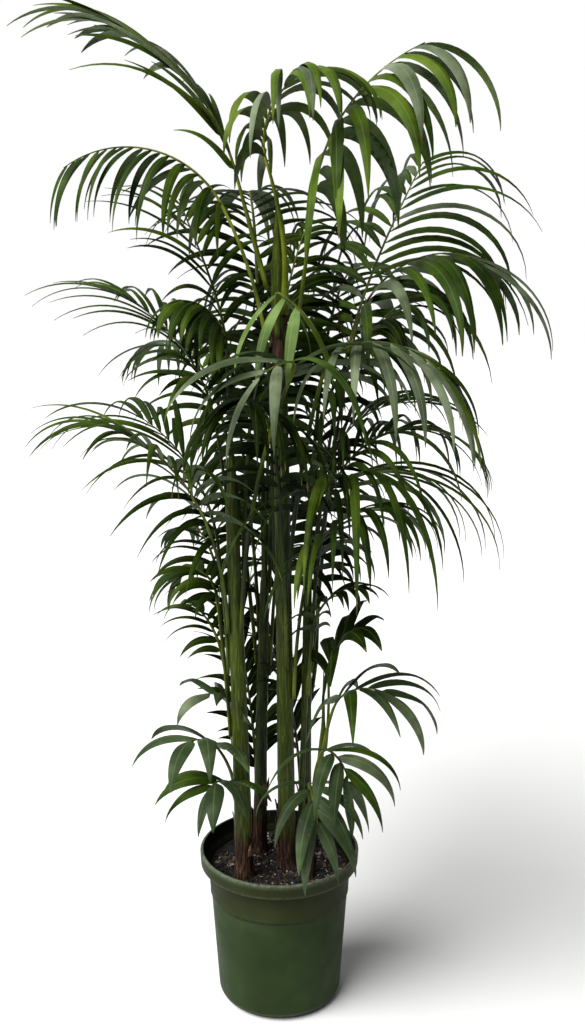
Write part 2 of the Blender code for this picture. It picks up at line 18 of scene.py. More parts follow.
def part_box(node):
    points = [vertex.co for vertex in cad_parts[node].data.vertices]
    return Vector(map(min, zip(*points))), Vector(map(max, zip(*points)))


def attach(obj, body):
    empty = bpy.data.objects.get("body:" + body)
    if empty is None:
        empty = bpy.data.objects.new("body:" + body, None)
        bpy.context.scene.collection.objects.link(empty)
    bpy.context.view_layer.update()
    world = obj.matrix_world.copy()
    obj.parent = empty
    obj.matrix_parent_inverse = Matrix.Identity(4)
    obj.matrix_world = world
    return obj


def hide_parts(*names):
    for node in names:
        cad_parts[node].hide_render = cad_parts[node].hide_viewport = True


bl_info = {
    "name": "Potted kentia palm",
    "blender": (4, 5, 0),
    "version": (1, 0, 0),
    "location": "View3D > Sidebar > Palm",
    "description": "Dresses the potted kentia palm: pot, compost, stems, ribs, leaflets and studio",
    "category": "Object",
}

SEED = 11

# The soil's level and the stems' courses, as in the solids
SOIL_LEVEL = 0.262
UPRIGHT_FOOT = 0.004
LEAN_GROWTH = 1.3
FLARE_HEIGHT = 0.045
FLARE_GAIN = 0.28

# Petioles and ribs
PETIOLE_STEPS = 10
RIB_NECK = 0.0036
RIB_TIP = 0.0012
CREST = 0.5
CLASP_SHARE = 0.4
SEAT_GAP = 0.0003

# Leaflets
FULLEST_AT = 0.35
NECK_SHORTENING = 0.35
TIP_SHORTENING = 0.30
TIP_SPREAD = 24.0
SAG_GROWTH = 1.2
FLATTENING = 0.75
ANGLE_JITTER = 7.0
LENGTH_JITTER = 0.18

Stem = namedtuple("Stem", "name foot top height radius tip_radius")

STEMS = (
    Stem("stem_left", (-0.066, -0.045), (-0.082, -0.034), 0.98, 0.0175, 0.0115),
    Stem("stem_middle", (0.014, 0.000), (0.000, 0.000), 1.38, 0.0170, 0.0125),
    Stem("stem_rear", (-0.038, 0.055), (-0.026, 0.060), 0.80, 0.0140, 0.0085),
    Stem("stem_right", (0.050, 0.060), (0.054, 0.064), 0.78, 0.0125, 0.0080),
    Stem("stem_slim_right", (0.040, 0.024), (0.056, 0.010), 0.80, 0.0065, 0.0045),
    Stem("stem_young_right", (0.058, -0.045), (0.080, -0.052), 0.56, 0.0070, 0.0045),
    Stem("stem_young_left", (-0.076, 0.006), (-0.084, 0.002), 0.58, 0.0060, 0.0040),
)

# A frond's foot is its height on the stem and the bearing of the side where it clasps the stem
Frond = namedtuple(
    "Frond",
    "name stem foot clasp heading turn petiole blade rise neck tip"
    " pairs leaflet width spread lift droop roll girth",
    defaults=(10, 0.32, 0.023, 64, 16, 90, 0, 0.0045),
)

FRONDS = (
    Frond("frond_front_centre", "stem_middle", 1.26, -100, -90, 40, 0.11, 0.15, 79, 14, -38, 3, 0.19, 0.030, lift=-35, droop=130),
    Frond("frond_front_left", "stem_left", 0.72, -60, -62, -101, 0.53, 0.16, 89, 51, -39, 4, 0.28, 0.028, droop=95),
    Frond("frond_right_front", "stem_middle", 0.72, -70, -65, 69, 0.50, 0.30, 89, 61, -61, 6, 0.27, 0.026, lift=-5, droop=110),
    Frond("frond_crest", "stem_middle", 1.30, -60, -9, -40, 0.25, 0.21, 85, 108, -3, 9, 0.26, 0.027, lift=5, droop=145, girth=0.0085),
    Frond("frond_top_left", "stem_middle", 1.34, 180, 163, 7, 0.20, 0.34, 74, 74, 25, 12, 0.30, 0.030, spread=27, lift=0, droop=55, girth=0.0075),
    Frond("frond_top_right", "stem_middle", 1.20, 0, -14, -4, 0.30, 0.31, 81, 83, 21, 10, 0.33, 0.030, lift=-5, droop=140, girth=0.0065),
    Frond("frond_upper_left", "stem_middle", 1.16, 200, 197, -11, 0.33, 0.30, 89, 62, -36, 10, 0.19, 0.019, lift=-20, droop=118, girth=0.0060),
    Frond("frond_drooping_left", "stem_left", 0.94, 60, 205, 12, 0.30, 0.14, 83, 89, -2, 5, 0.15, 0.026, lift=-35, droop=150),
    Frond("frond_upper_right", "stem_right", 0.74, 10, 28, 32, 0.49, 0.41, 89, 75, 40, 11, 0.40, 0.022, spread=74, lift=0, droop=120),
    Frond("frond_far_right", "stem_right", 0.68, -50, 0, -51, 0.59, 0.31, 86, 79, -26, 7, 0.34, 0.028, lift=-5, droop=120),
    Frond("frond_rear_left", "stem_rear", 0.70, 130, 161, -50, 0.56, 0.28, 87, 80, 41, 7, 0.27, 0.018, droop=70),
    Frond("frond_left", "stem_left", 0.80, 100, 162, 1, 0.31, 0.28, 88, 80, 26, 8, 0.30, 0.018, spread=70, droop=62),
    Frond("frond_lower_left", "stem_left", 0.66, 180, 149, -1, 0.24, 0.28, 89, 82, 23, 8, 0.34, 0.018, spread=70, droop=76),
    Frond("frond_lower_left_front", "stem_left", 0.74, -150, 216, -15, 0.21, 0.23, 89, 68, 30, 8, 0.32, 0.018, spread=70, droop=80),
    Frond("frond_right", "stem_right", 0.62, 50, -10, 28, 0.38, 0.20, 83, 87, 6, 7, 0.30, 0.017, droop=85),
    Frond("frond_middle_right", "stem_slim_right", 0.74, -30, 10, 11, 0.23, 0.23, 87, 78, -7, 8, 0.36, 0.018, droop=125),
    Frond("frond_lower_right", "stem_right", 0.56, -110, -62, 35, 0.38, 0.23, 89, 74, -15, 6, 0.42, 0.022, lift=8, droop=135),
    Frond("frond_low_right_front", "stem_middle", 0.60, -30, -41, 7, 0.24, 0.23, 89, 77, 13, 7, 0.28, 0.022, lift=5, droop=120),
    Frond("frond_back_high", "stem_rear", 0.74, 90, 95, 0, 0.62, 0.38, 87, 68, -10, 9, 0.30),
    Frond("frond_back_left", "stem_rear", 0.64, 150, 118, 0, 0.45, 0.36, 86, 64, -15, 9, 0.24),
    Frond("frond_back_right", "stem_right", 0.66, 100, 72, 0, 0.55, 0.38, 86, 66, -5, 9, 0.22),
    Frond("frond_back_low", "stem_rear", 0.56, 60, 96, 0, 0.30, 0.30, 84, 60, -30, 9, 0.25),
    Frond("frond_back_low_right", "stem_right", 0.58, 40, 84, 0, 0.20, 0.26, 78, 55, -30, 6, 0.14),
    Frond("frond_back_low_left", "stem_left", 0.60, 120, 110, 0, 0.18, 0.28, 84, 62, -20, 7, 0.16),
    Frond("frond_core_high", "stem_rear", 0.78, 40, 70, 0, 0.34, 0.40, 88, 84, 35, 9, 0.28, spread=50, lift=-10, droop=135),
    Frond("frond_core_middle", "stem_middle", 0.84, 140, 102, 0, 0.28, 0.36, 88, 80, 15, 9, 0.28, spread=50, lift=-10, droop=135),
    Frond("frond_core_left", "stem_left", 0.84, 20, 60, 0, 0.24, 0.34, 88, 82, 20, 8, 0.26, spread=50, lift=-10, droop=135),
    Frond("frond_core_front", "stem_middle", 0.66, -80, -105, 0, 0.34, 0.30, 82, 78, 10, 8, 0.26, spread=45, lift=-10, droop=135),
    Frond("frond_core_right", "stem_right", 0.76, -90, -25, 0, 0.30, 0.34, 88, 84, 30, 8, 0.24, spread=50, lift=-10, droop=135),
    Frond("frond_core_low", "stem_rear", 0.62, 20, 45, 0, 0.16, 0.34, 86, 84, 25, 9, 0.24, spread=50, lift=-10, droop=135),
    Frond("frond_core_rear", "stem_rear", 0.68, 80, 85, 0, 0.22, 0.34, 80, 82, 25, 9, 0.26, 0.026, spread=50, lift=-10, droop=135),
    Frond("frond_short_left", "stem_left", 0.54, 170, 135, 18, 0.26, 0.12, 87, 80, -53, 6, 0.15, 0.020, droop=100),
    Frond("frond_short_left_rear", "stem_young_left", 0.56, 150, 126, 8, 0.12, 0.13, 87, 67, 6, 4, 0.13, 0.020),
    Frond("frond_short_right", "stem_slim_right", 0.60, -60, -38, 0, 0.12, 0.16, 86, 84, 10, 5, 0.11, 0.020),
    Frond("frond_inner_left", "stem_rear", 0.34, 110, 120, 0, 0.08, 0.32, 86, 86, 62, 8, 0.15, 0.026, spread=34, droop=60),
    Frond("frond_inner_right", "stem_right", 0.36, 120, 150, 0, 0.10, 0.28, 86, 84, 62, 8, 0.14, 0.026, spread=34, droop=60),
    Frond("frond_young_right_high", "stem_young_right", 0.52, 0, 0, -4, 0.13, 0.11, 84, 92, 39, 4, 0.19, 0.038),
    Frond("frond_young_right", "stem_young_right", 0.46, -65, -36, 27, 0.15, 0.12, 87, 71, -23, 4, 0.24, 0.028),
    Frond("frond_young_right_low", "stem_young_right", 0.42, -110, -73, 42, 0.13, 0.11, 89, 46, -94, 4, 0.18, 0.028, droop=110),
    Frond("frond_young_front", "stem_young_right", 0.37, -120, -94, 32, 0.13, 0.11, 88, 36, -89, 4, 0.19, 0.028, droop=110),
    Frond("frond_young_left_high", "stem_young_left", 0.50, 240, 191, -3, 0.07, 0.07, 83, 90, -5, 2, 0.15, 0.034),
    Frond("frond_young_left", "stem_young_left", 0.42, 235, 222, 0, 0.10, 0.08, 80, 54, 0, 2, 0.20, 0.040),
    Frond("frond_young_left_front", "stem_young_left", 0.37, 260, 245, -15, 0.09, 0.07, 80, 46, -30, 3, 0.17, 0.036),
)

# Kind of leaf that most of a frond's leaflets have: the deep kind is painted shade on fronds inside and behind the
# crown, and the silver and grey kinds are greyed by painted sheen
TONES = {
    "frond_front_centre": "bright",
    "frond_front_left": "silver",
    "frond_right_front": "silver",
    "frond_crest": "olive",
    "frond_top_left": "olive",
    "frond_top_right": "olive",
    "frond_young_front": "grey",
    "frond_young_left": "grey",
    "frond_young_left_high": "grey",
    "frond_young_left_front": "grey",
    "frond_young_right": "grey",
    "frond_young_right_low": "grey",
    "frond_young_right_high": "deep",
    "frond_core_high": "deep",
    "frond_core_middle": "deep",
    "frond_core_left": "deep",
    "frond_core_low": "deep",
    "frond_core_rear": "deep",
    "frond_core_right": "deep",
    "frond_core_front": "deep",
    "frond_back_high": "deep",
    "frond_back_low": "deep",
    "frond_back_low_left": "deep",
    "frond_back_low_right": "deep",
    "frond_inner_left": "deep",
    "frond_inner_right": "deep",
}
# What the other leaflets of some fronds are
SECOND_TONES = {
    "frond_front_centre": ("bright", "olive"),
    "frond_top_left": ("silver", "dark"),
    "frond_top_right": ("dark", "silver"),
    "frond_upper_right": ("silver", "dark"),
    "frond_far_right": ("silver",),
    "frond_right_front": ("olive", "dark"),
    "frond_crest": ("silver", "dark"),
    "frond_young_front": ("silver", "dark"),
    "frond_young_left": ("silver", "dark"),
    "frond_young_left_high": ("silver", "dark"),
    "frond_young_left_front": ("dark",),
    "frond_young_right": ("dark", "silver"),
    "frond_young_right_low": ("dark", "silver"),
}
# How much painted shade takes a stem from yellow-green towards dark green; the others get it in full
SHADES = {"stem_left": 0.1, "stem_middle": 0.3, "stem_right": 0.5, "stem_slim_right": 0.6}
# Fronds with yellow-green petioles; the others' are darkened by painted shade
PALE_RIBS = ("frond_crest", "frond_top_left", "frond_top_right", "frond_upper_left", "frond_front_centre")
BROAD_WIDTH = 0.028
# Fronds that the photograph shows with few, well-parted leaflets
SPARSE = ("frond_upper_left",)
# Fronds that it shows with long leaflets, slimmer than the solids'
SLENDER = ("frond_front_centre", "frond_front_left", "frond_right_front")
# Fronds whose leaflets hang straight from a bend at their foot, and the power of the sag along such a leaflet
STIFF = ("frond_upper_left", "frond_top_right")
STIFF_GROWTH = 0.7
# The crown's shaded core, where leaves, ribs and stems get painted shade: radius, middle height, half its height, and
# over how much it fades
CORE_RADIUS = 0.10
CORE_LEVEL = 1.02
CORE_REACH = 0.20
CORE_FADE = 0.13
KINDS = ("deep", "dark", "olive", "grey", "silver", "bright")
OWN_TONE_SHARE = 0.72

Station = namedtuple("Station", "place along side up")


def lerp(low, high, share):
    return low + (high - low) * share


def bearing(heading, rise):
    """Unit vector at a heading and a rise, both in degrees."""
    level = cos(radians(rise))
    return Vector((level * cos(radians(heading)), level * sin(radians(heading)), sin(radians(rise))))


# Shared making of meshes and materials


def linear(colour):
    """Linear RGBA from an sRGB hex colour."""
    channels = [int(colour[place : place + 2], 16) / 255 for place in (1, 3, 5)]
    return (*[c / 12.92 if c <= 0.04045 else ((c + 0.055) / 1.055) ** 2.4 for c in channels], 1.0)


def add_node(tree, kind, settings=None, values=None, links=None):
    """A node of one kind with its settings, its sockets' values and the outputs that feed its sockets."""
    node = tree.nodes.new(kind)
    for name, value in (settings or {}).items():
        setattr(node, name, value)
    for socket, value in (values or {}).items():
        node.inputs[socket].default_value = value
    for socket, source in (links or {}).items():
        tree.links.new(source, node.inputs[socket])
    return node


def new_material(name, ior=1.5):
    """A material with an empty Principled surface. Returns it with its tree and shader."""
    material = bpy.data.materials.new(name)
    material.use_nodes = True
    shader = material.node_tree.nodes["Principled BSDF"]
    shader.inputs["IOR"].default_value = ior
    return material, material.node_tree, shader


def colour_ramp(tree, factor, stops):
    """A colour ramp with stops of (place, sRGB hex)."""
    ramp = add_node(tree, "ShaderNodeValToRGB", links={"Fac": factor})
    elements = ramp.color_ramp.elements
    while len(elements) < len(stops):
        elements.new(0.5)
    for element, (place, colour) in zip(elements, stops):
        element.position = place
        element.color = linear(colour)
    return ramp.outputs["Color"]


def mixed(tree, factor, first, second):
    """Colour blend from first to second by a factor output."""
    mix = add_node(tree, "ShaderNodeMix", {"data_type": "RGBA"}, links={0: factor, 6: first, 7: second})
    return mix.outputs[2]


def stepped(tree, value, low, high, low_out=0.0, high_out=1.0):
    """A value's range mapped to another and clamped."""
    values = {"From Min": low, "From Max": high, "To Min": low_out, "To Max": high_out}
    return add_node(tree, "ShaderNodeMapRange", values=values, links={"Value": value}).outputs["Result"]


def roughened(tree, shader, pattern, low, high):
    """Roughness that a noise pattern moves between two values."""
    tree.links.new(stepped(tree, pattern, 0.3, 0.7, low, high), shader.inputs["Roughness"])


def multiplied(tree, first, second):
    """Product of two outputs."""
    return add_node(tree, "ShaderNodeMath", {"operation": "MULTIPLY"}, links={0: first, 1: second}).outputs[0]


def noise_at(tree, vector, scale, detail=3.0, roughness=0.55):
    values = {"Scale": scale, "Detail": detail, "Roughness": roughness}
    return add_node(tree, "ShaderNodeTexNoise", values=values, links={"Vector": vector}).outputs["Fac"]


def bumped(tree, shader, height, distance, strength=1.0):
    values = {"Distance": distance, "Strength": strength}
    bump = add_node(tree, "ShaderNodeBump", values=values, links={"Height": height})
    tree.links.new(bump.outputs["Normal"], shader.inputs["Normal"])


def read_paint(tree, name):
    """Output of a value that paint() gave every point of the mesh."""
    return add_node(tree, "ShaderNodeAttribute", {"attribute_name": name}).outputs["Fac"]


def paint(mesh, name, values):
    """Give every point of a mesh a value that its material reads by name."""
    mesh.attributes.new(name, "FLOAT", "POINT").data.foreach_set("value", values)


def piece_from(name, verts, faces, material, smooth=True):
    """A finished object at the origin from points and faces."""
    mesh = bpy.data.meshes.new(name)
    mesh.from_pydata(verts, [], faces)
    mesh.materials.append(material)
    mesh.polygons.foreach_set("use_smooth", [smooth] * len(mesh.polygons))
    mesh.validate()
    mesh.update()
    obj = bpy.data.objects.new(name, mesh)
    bpy.context.scene.collection.objects.link(obj)
    return obj


def loft(verts, faces, rings, closed_ends=True):
    """Add the skin between rings of equally many points, with a fan to the middle of each end."""
    start = len(verts)
    size = len(rings[0])
    for ring in rings:
        verts.extend(ring)
    for row in range(len(rings) - 1):
        for place in range(size):
            following = (place + 1) % size
            lower = start + row * size
            faces.append((lower + place, lower + following, lower + size + following, lower + size + place))
    if not closed_ends:
        return
    for row, flip in ((0, True), (len(rings) - 1, False)):
        centre = len(verts)
        verts.append(sum(rings[row], Vector()) / size)
        for place in range(size):
            pair = (start + row * size + place, start + row * size + (place + 1) % size)
            faces.append((pair[1], pair[0], centre) if flip else (pair[0], pair[1], centre))


# Pot


def arc(centre, radius, start, end, steps):
    """Points of an arc in the profile plane, its angles in degrees from +X."""
    angles = [radians(lerp(start, end, step / steps)) for step in range(steps + 1)]
    return [(centre[0] + radius * cos(angle), centre[1] + radius * sin(angle)) for angle in angles]


@lru_cache(maxsize=None)
def pot_edge():
    """Outer radius and height of the pot's rim, looked up once."""
    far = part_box("pot")[1]
    return far[0], far[2]


def wall_radius(sizes, height):
    """Outer radius of the tapered wall between the foot's rounding and the shoulder."""
    shoulder = pot_edge()[1] - sizes.rim_depth - sizes.shoulder_drop
    share = (height - sizes.foot_rounding) / (shoulder - sizes.foot_rounding)
    return lerp(sizes.foot_radius, sizes.shoulder_radius, share)


def pot_profile(sizes):
    """Half section of the pot: up the inside, over the rolled rim, down past the ridge and under the foot."""
    rim, top = pot_edge()
    rim_base = top - sizes.rim_depth
    shoulder = rim_base - sizes.shoulder_drop
    wall = sizes.wall
    rounding = sizes.rim_rounding
    foot_centre = (sizes.foot_radius - sizes.foot_rounding, sizes.foot_rounding)
    inside = [(0, wall), *arc(foot_centre, sizes.foot_rounding - wall, -90, 0, 5)]
    inside += [(sizes.shoulder_radius - wall, shoulder - 0.002), (sizes.shoulder_radius - wall + 0.002, shoulder)]
    inside += [(sizes.lip_radius - 0.002, rim_base + 0.003), (sizes.lip_radius, rim_base + 0.006)]
    lip = arc((sizes.lip_radius + 0.002, top - 0.002), 0.002, 180, 90, 4)
    roll = arc((rim - rounding, top - rounding), rounding, 90, 0, 6)
    band = [(rim - 0.0003, top - 0.010), (rim - 0.0008, rim_base + 0.007)]
    band += arc((rim - 0.0012 - 0.002, rim_base + 0.002), 0.002, 0, -90, 4)
    under = arc((sizes.shoulder_radius + 0.0025, shoulder + 0.0028), 0.0025, 150, 180, 2)
    ridge = sizes.ridge_height
    step = sizes.ridge_step
    lower = [
        (wall_radius(sizes, ridge + 2 * step), ridge + 2 * step),
        (wall_radius(sizes, ridge + step) + step * 0.3, ridge + step),
        (wall_radius(sizes, ridge) - step * 0.2, ridge),
        (wall_radius(sizes, ridge - step) - step, ridge - step),
        (wall_radius(sizes, ridge - 4 * step) - step * 0.9, ridge - 4 * step),
    ]
    foot = arc(foot_centre, sizes.foot_rounding, 0, -90, 8)
    return inside + lip + roll + band + under + lower + foot + [(0, 0)]


def make_pot_material():
    """Injection-moulded polypropylene, pigmented dark green: a matte skin, pale on its edges from wear and painted
    highlight, darkened by painted shade inside, under the band, under the ridge and at the floor.
    """
    material, tree, shader = new_material("moulded_green_polypropylene", 1.49)
    shader.inputs["Specular IOR Level"].default_value = 0.07
    place = add_node(tree, "ShaderNodeTexCoord").outputs["Object"]
    height = add_node(tree, "ShaderNodeSeparateXYZ", links={"Vector": place}).outputs["Z"]
    cloud = noise_at(tree, place, 9.0)
    base = colour_ramp(tree, cloud, ((0.3, "#202c14"), (0.55, "#263419"), (0.75, "#304021")))
    # Darker and browner from the ridge up
    shade = stepped(tree, height, 0.2, 0.225, 0.0, 0.75)
    banded = mixed(tree, shade, base, colour_ramp(tree, cloud, ((0.3, "#20220e"), (0.7, "#2c2e18"))))
    # Pale edges: partly rubbed wear, partly painted highlight on the rim's crown, its lower corner and the foot
    scuff = stepped(tree, noise_at(tree, place, 130.0, 5.0), 0.3, 0.62, 0.25, 1.0)
    worn_and_highlit = multiplied(tree, read_paint(tree, "edge"), scuff)
    pale = colour_ramp(tree, cloud, ((0.3, "#56604c"), (0.7, "#707a66")))
    outside = mixed(tree, worn_and_highlit, banded, pale)
    # Painted shade: near black inside the pot, in the corner under the band, under the ridge and at the floor
    grime = colour_ramp(tree, scuff, ((0.2, "#0b0e07"), (1.0, "#161b0f")))
    soiled = mixed(tree, read_paint(tree, "grime"), outside, grime)
    tree.links.new(soiled, shader.inputs["Base Color"])
    roughened(tree, shader, noise_at(tree, place, 26.0, 4.0), 0.42, 0.6)
    # The moulded grain is about 0.4 mm in life, and drawn at 1.2 mm so that it shows
    bumped(tree, shader, noise_at(tree, place, 800.0, 2.0), 0.0002, 0.35)
    return material


def nearness(value, goal, reach):
    """1 at the goal, falling to 0 at the reach from it."""
    return max(0.0, 1 - abs(value - goal) / reach)


def wear_and_highlight(sizes, point):
    """How pale an edge is, partly from rubbed wear and partly as painted highlight: all along the rim's crown, along
    its lower corner and round the foot.
    """
    top = pot_edge()[1]
    crown = nearness(point.z, top, sizes.wear)
    corner = nearness(point.z, top - sizes.rim_depth + 0.003, sizes.wear / 2)
    foot = nearness(point.z, sizes.foot_rounding / 2, sizes.wear)
    return max(crown, 0.4 * corner, 0.5 * foot)


def grime(sizes, point):
    """How much painted shade darkens the pot: all over its inside, in the corner under the band, under the ridge and at
    the floor.
    """
    radius = Vector((point.x, point.y)).length
    rim_base = pot_edge()[1] - sizes.rim_depth
    outer = sizes.lip_radius + sizes.wall if point.z > rim_base else wall_radius(sizes, point.z)
    if radius < outer - sizes.wall / 2:
        return 1.0
    corner = nearness(point.z, rim_base - sizes.shoulder_drop, 2 * sizes.shoulder_drop)
    groove = nearness(point.z, sizes.ridge_height - sizes.ridge_step, 3 * sizes.ridge_step)
    return max(0.5 * corner, 0.6 * groove, 0.8 * nearness(point.z, 0.0, sizes.wear))


def make_pot(sizes):
    """Spin the profile into the finished pot."""
    profile = pot_profile(sizes)
    verts = [Vector((0, 0, profile[0][1]))]
    steps = sizes.steps
    for radius, height in profile[1:-1]:
        for step in range(steps):
            angle = tau * step / steps
            verts.append(Vector((radius * cos(angle), radius * sin(angle), height)))
    verts.append(Vector((0, 0, 0)))
    rows = len(profile) - 2
    faces = []
    for step in range(steps):
        following = (step + 1) % steps
        faces.append((0, 1 + step, 1 + following))
        for row in range(rows - 1):
            lower = 1 + row * steps
            faces.append((lower + step, lower + steps + step, lower + steps + following, lower + following))
        lower = 1 + (rows - 1) * steps
        faces.append((lower + step, len(verts) - 1, lower + following))
    pot = piece_from("moulded_pot", verts, faces, make_pot_material())
    # Pale edges, partly wear and partly painted highlight
    paint(pot.data, "edge", [wear_and_highlight(sizes, vert) for vert in verts])
    # Painted shade inside the pot, under the band, under the ridge and at the floor
    paint(pot.data, "grime", [grime(sizes, vert) for vert in verts])
    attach(pot, "root")
    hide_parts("pot")
    return pot


# Soil


def make_soil_material():
    """Moist bark compost: near black between the lumps, matte."""
    material, tree, shader = new_material("bark_compost")
    place = add_node(tree, "ShaderNodeTexCoord").outputs["Object"]
    lumps = noise_at(tree, place, 140.0, 6.0, 0.7)
    stops = ((0.38, "#070504"), (0.54, "#100c08"), (0.7, "#221a13"))
    tree.links.new(colour_ramp(tree, lumps, stops), shader.inputs["Base Color"])
    roughened(tree, shader, lumps, 0.85, 1.0)
    bumped(tree, shader, lumps, 0.003)
    return material


def make_chip_material():
    """Composted pine bark, split in flakes: each one a brown between black and pale tan, with a fibrous face."""
    material, tree, shader = new_material("pine_bark_chips")
    place = add_node(tree, "ShaderNodeTexCoord").outputs["Object"]
    patch = noise_at(tree, place, 55.0, 1.0)
    stops = ((0.4, "#080605"), (0.52, "#1a110b"), (0.6, "#3a281c"), (0.68, "#705a48"), (0.76, "#a89a8b"))
    tree.links.new(colour_ramp(tree, patch, stops), shader.inputs["Base Color"])
    roughened(tree, shader, patch, 0.7, 0.9)
    bumped(tree, shader, noise_at(tree, place, 700.0, 3.0), 0.0006)
    return material


def make_grit_material():
    """Expanded perlite in crumbs: chalky off-white, pitted and soiled brown in places."""
    material, tree, shader = new_material("perlite_grit")
    place = add_node(tree, "ShaderNodeTexCoord").outputs["Object"]
    soiled = noise_at(tree, place, 90.0, 2.0)
    stops = ((0.36, "#3a3529"), (0.5, "#7a7767"), (0.64, "#b8b9a9"))
    tree.links.new(colour_ramp(tree, soiled, stops), shader.inputs["Base Color"])
    roughened(tree, shader, soiled, 0.8, 0.95)
    bumped(tree, shader, noise_at(tree, place, 1500.0, 2.0), 0.0003)
    return material


def soil_height(x, y):
    """Height of the compost's lumpy surface."""
    coarse = noise.noise(Vector((x * 28, y * 28, 3.1)))
    fine = noise.noise(Vector((x * 120, y * 120, 7.7)))
    return SOIL_LEVEL + 0.0035 * coarse + 0.0018 * fine


def make_soil(sizes, pot_sizes):
    """A lumpy disc of compost that meets the pot's wall and is closed underneath."""
    edge = wall_radius(pot_sizes, SOIL_LEVEL) - pot_sizes.wall - SEAT_GAP
    steps = sizes.steps
    rings = []
    for row in range(sizes.rings + 1):
        radius = max(edge * row / sizes.rings, 0.0005)
        ring = []
        for step in range(steps):
            x = radius * cos(tau * step / steps)
            y = radius * sin(tau * step / steps)
            ring.append(Vector((x, y, soil_height(x, y))))
        rings.append(ring)
    skirt = [Vector((point.x, point.y, SOIL_LEVEL - sizes.depth)) for point in rings[-1]]
    verts = []
    faces = []
    loft(verts, faces, (rings + [skirt])[::-1])
    soil = piece_from("compost", verts, faces, make_soil_material())
    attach(soil, "root")
    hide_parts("soil")
    return soil


def chip_tree():
    """Geometry Nodes that scatter irregular bark flakes over a surface and return only the flakes."""
    tree = bpy.data.node_groups.new("bark_flakes", "GeometryNodeTree")
    face = tree.interface
    face.new_socket("Surface", in_out="INPUT", socket_type="NodeSocketGeometry")
    face.new_socket("Density", in_out="INPUT", socket_type="NodeSocketFloat")
    face.new_socket("Length", in_out="INPUT", socket_type="NodeSocketFloat")
    face.new_socket("Seed", in_out="INPUT", socket_type="NodeSocketInt")
    face.new_socket("Material", in_out="INPUT", socket_type="NodeSocketMaterial")
    face.new_socket("Flakes", in_out="OUTPUT", socket_type="NodeSocketGeometry")
    given = add_node(tree, "NodeGroupInput").outputs
    links = {"Mesh": given["Surface"], "Density": given["Density"], "Seed": given["Seed"]}
    points = add_node(tree, "GeometryNodeDistributePointsOnFaces", links=links)
    flake = add_node(tree, "GeometryNodeMeshIcoSphere", values={"Radius": 1.0, "Subdivisions": 2})
    size = add_node(
        tree,
        "FunctionNodeRandomValue",
        {"data_type": "FLOAT_VECTOR"},
        {0: (0.35, 0.2, 0.10), 1: (1.0, 0.6, 0.28)},
        {"Seed": given["Seed"]},
    )
    scale = add_node(
        tree, "ShaderNodeVectorMath", {"operation": "SCALE"}, links={0: size.outputs[0], "Scale": given["Length"]}
    )
    turn = add_node(
        tree, "FunctionNodeRandomValue", {"data_type": "FLOAT_VECTOR"}, {0: (-0.7, -0.7, 0.0), 1: (0.7, 0.7, tau)}
    )
    spin = add_node(tree, "FunctionNodeEulerToRotation", links={0: turn.outputs[0]})
    placed = add_node(
        tree,
        "GeometryNodeInstanceOnPoints",
        links={
            "Points": points.outputs["Points"],
            "Instance": flake.outputs["Mesh"],
            "Rotation": spin.outputs[0],
            "Scale": scale.outputs[0],
        },
    )
    real = add_node(tree, "GeometryNodeRealizeInstances", links={"Geometry": placed.outputs["Instances"]})
    rough = add_node(tree, "ShaderNodeTexNoise", values={"Scale": 230.0, "Detail": 1.0})
    centred = add_node(
        tree, "ShaderNodeVectorMath", {"operation": "SUBTRACT"}, {1: (0.5, 0.5, 0.5)}, {0: rough.outputs["Color"]}
    )
    shift = add_node(
        tree, "ShaderNodeVectorMath", {"operation": "SCALE"}, {"Scale": 0.005}, {0: centred.outputs[0]}
    )
    bent = add_node(
        tree, "GeometryNodeSetPosition", links={"Geometry": real.outputs["Geometry"], "Offset": shift.outputs[0]}
    )
    links = {"Geometry": bent.outputs["Geometry"], "Material": given["Material"]}
    painted = add_node(tree, "GeometryNodeSetMaterial", links=links)
    add_node(tree, "NodeGroupOutput", links={"Flakes": painted.outputs["Geometry"]})
    return tree


def set_input(modifier, name, value):
    """Give a Geometry Nodes modifier's input its value by the socket's identifier."""
    for item in modifier.node_group.interface.items_tree:
        if item.name == name and item.in_out == "INPUT":
            modifier[item.identifier] = value
            return
    raise KeyError(name)


def chip_carrier(sizes, pot_sizes, material):
    """A copy of the compost's surface for the scatter to fall on."""
    reach = wall_radius(pot_sizes, SOIL_LEVEL) - pot_sizes.wall - sizes.chip_length
    steps = sizes.steps
    verts = [Vector((0, 0, soil_height(0, 0)))]
    for row in range(1, sizes.rings + 1):
        for step in range(steps):
            x = reach * row / sizes.rings * cos(tau * step / steps)
            y = reach * row / sizes.rings * sin(tau * step / steps)
            verts.append(Vector((x, y, soil_height(x, y) + 0.001)))
    faces = [(0, 1 + step, 1 + (step + 1) % steps) for step in range(steps)]
    for row in range(sizes.rings - 1):
        lower = 1 + row * steps
        for step in range(steps):
            following = (step + 1) % steps
            faces.append((lower + step, lower + steps + step, lower + steps + following, lower + following))
    return piece_from("chip_carrier", verts, faces, material)


def scattered(name, carrier, tree, material, inputs):
    """A finished piece of what the scatter tree makes over the carrier, which is used up."""
    modifier = carrier.modifiers.new("Flakes", "NODES")
    modifier.node_group = tree
    for label, value in inputs.items():
        set_input(modifier, label, value)
    set_input(modifier, "Material", material)
    graph = bpy.context.evaluated_depsgraph_get()
    mesh = bpy.data.meshes.new_from_object(carrier.evaluated_get(graph))
    bpy.data.objects.remove(carrier, do_unlink=True)
    piece = bpy.data.objects.new(name, mesh)
    bpy.context.scene.collection.objects.link(piece)
    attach(piece, "root")
    return piece


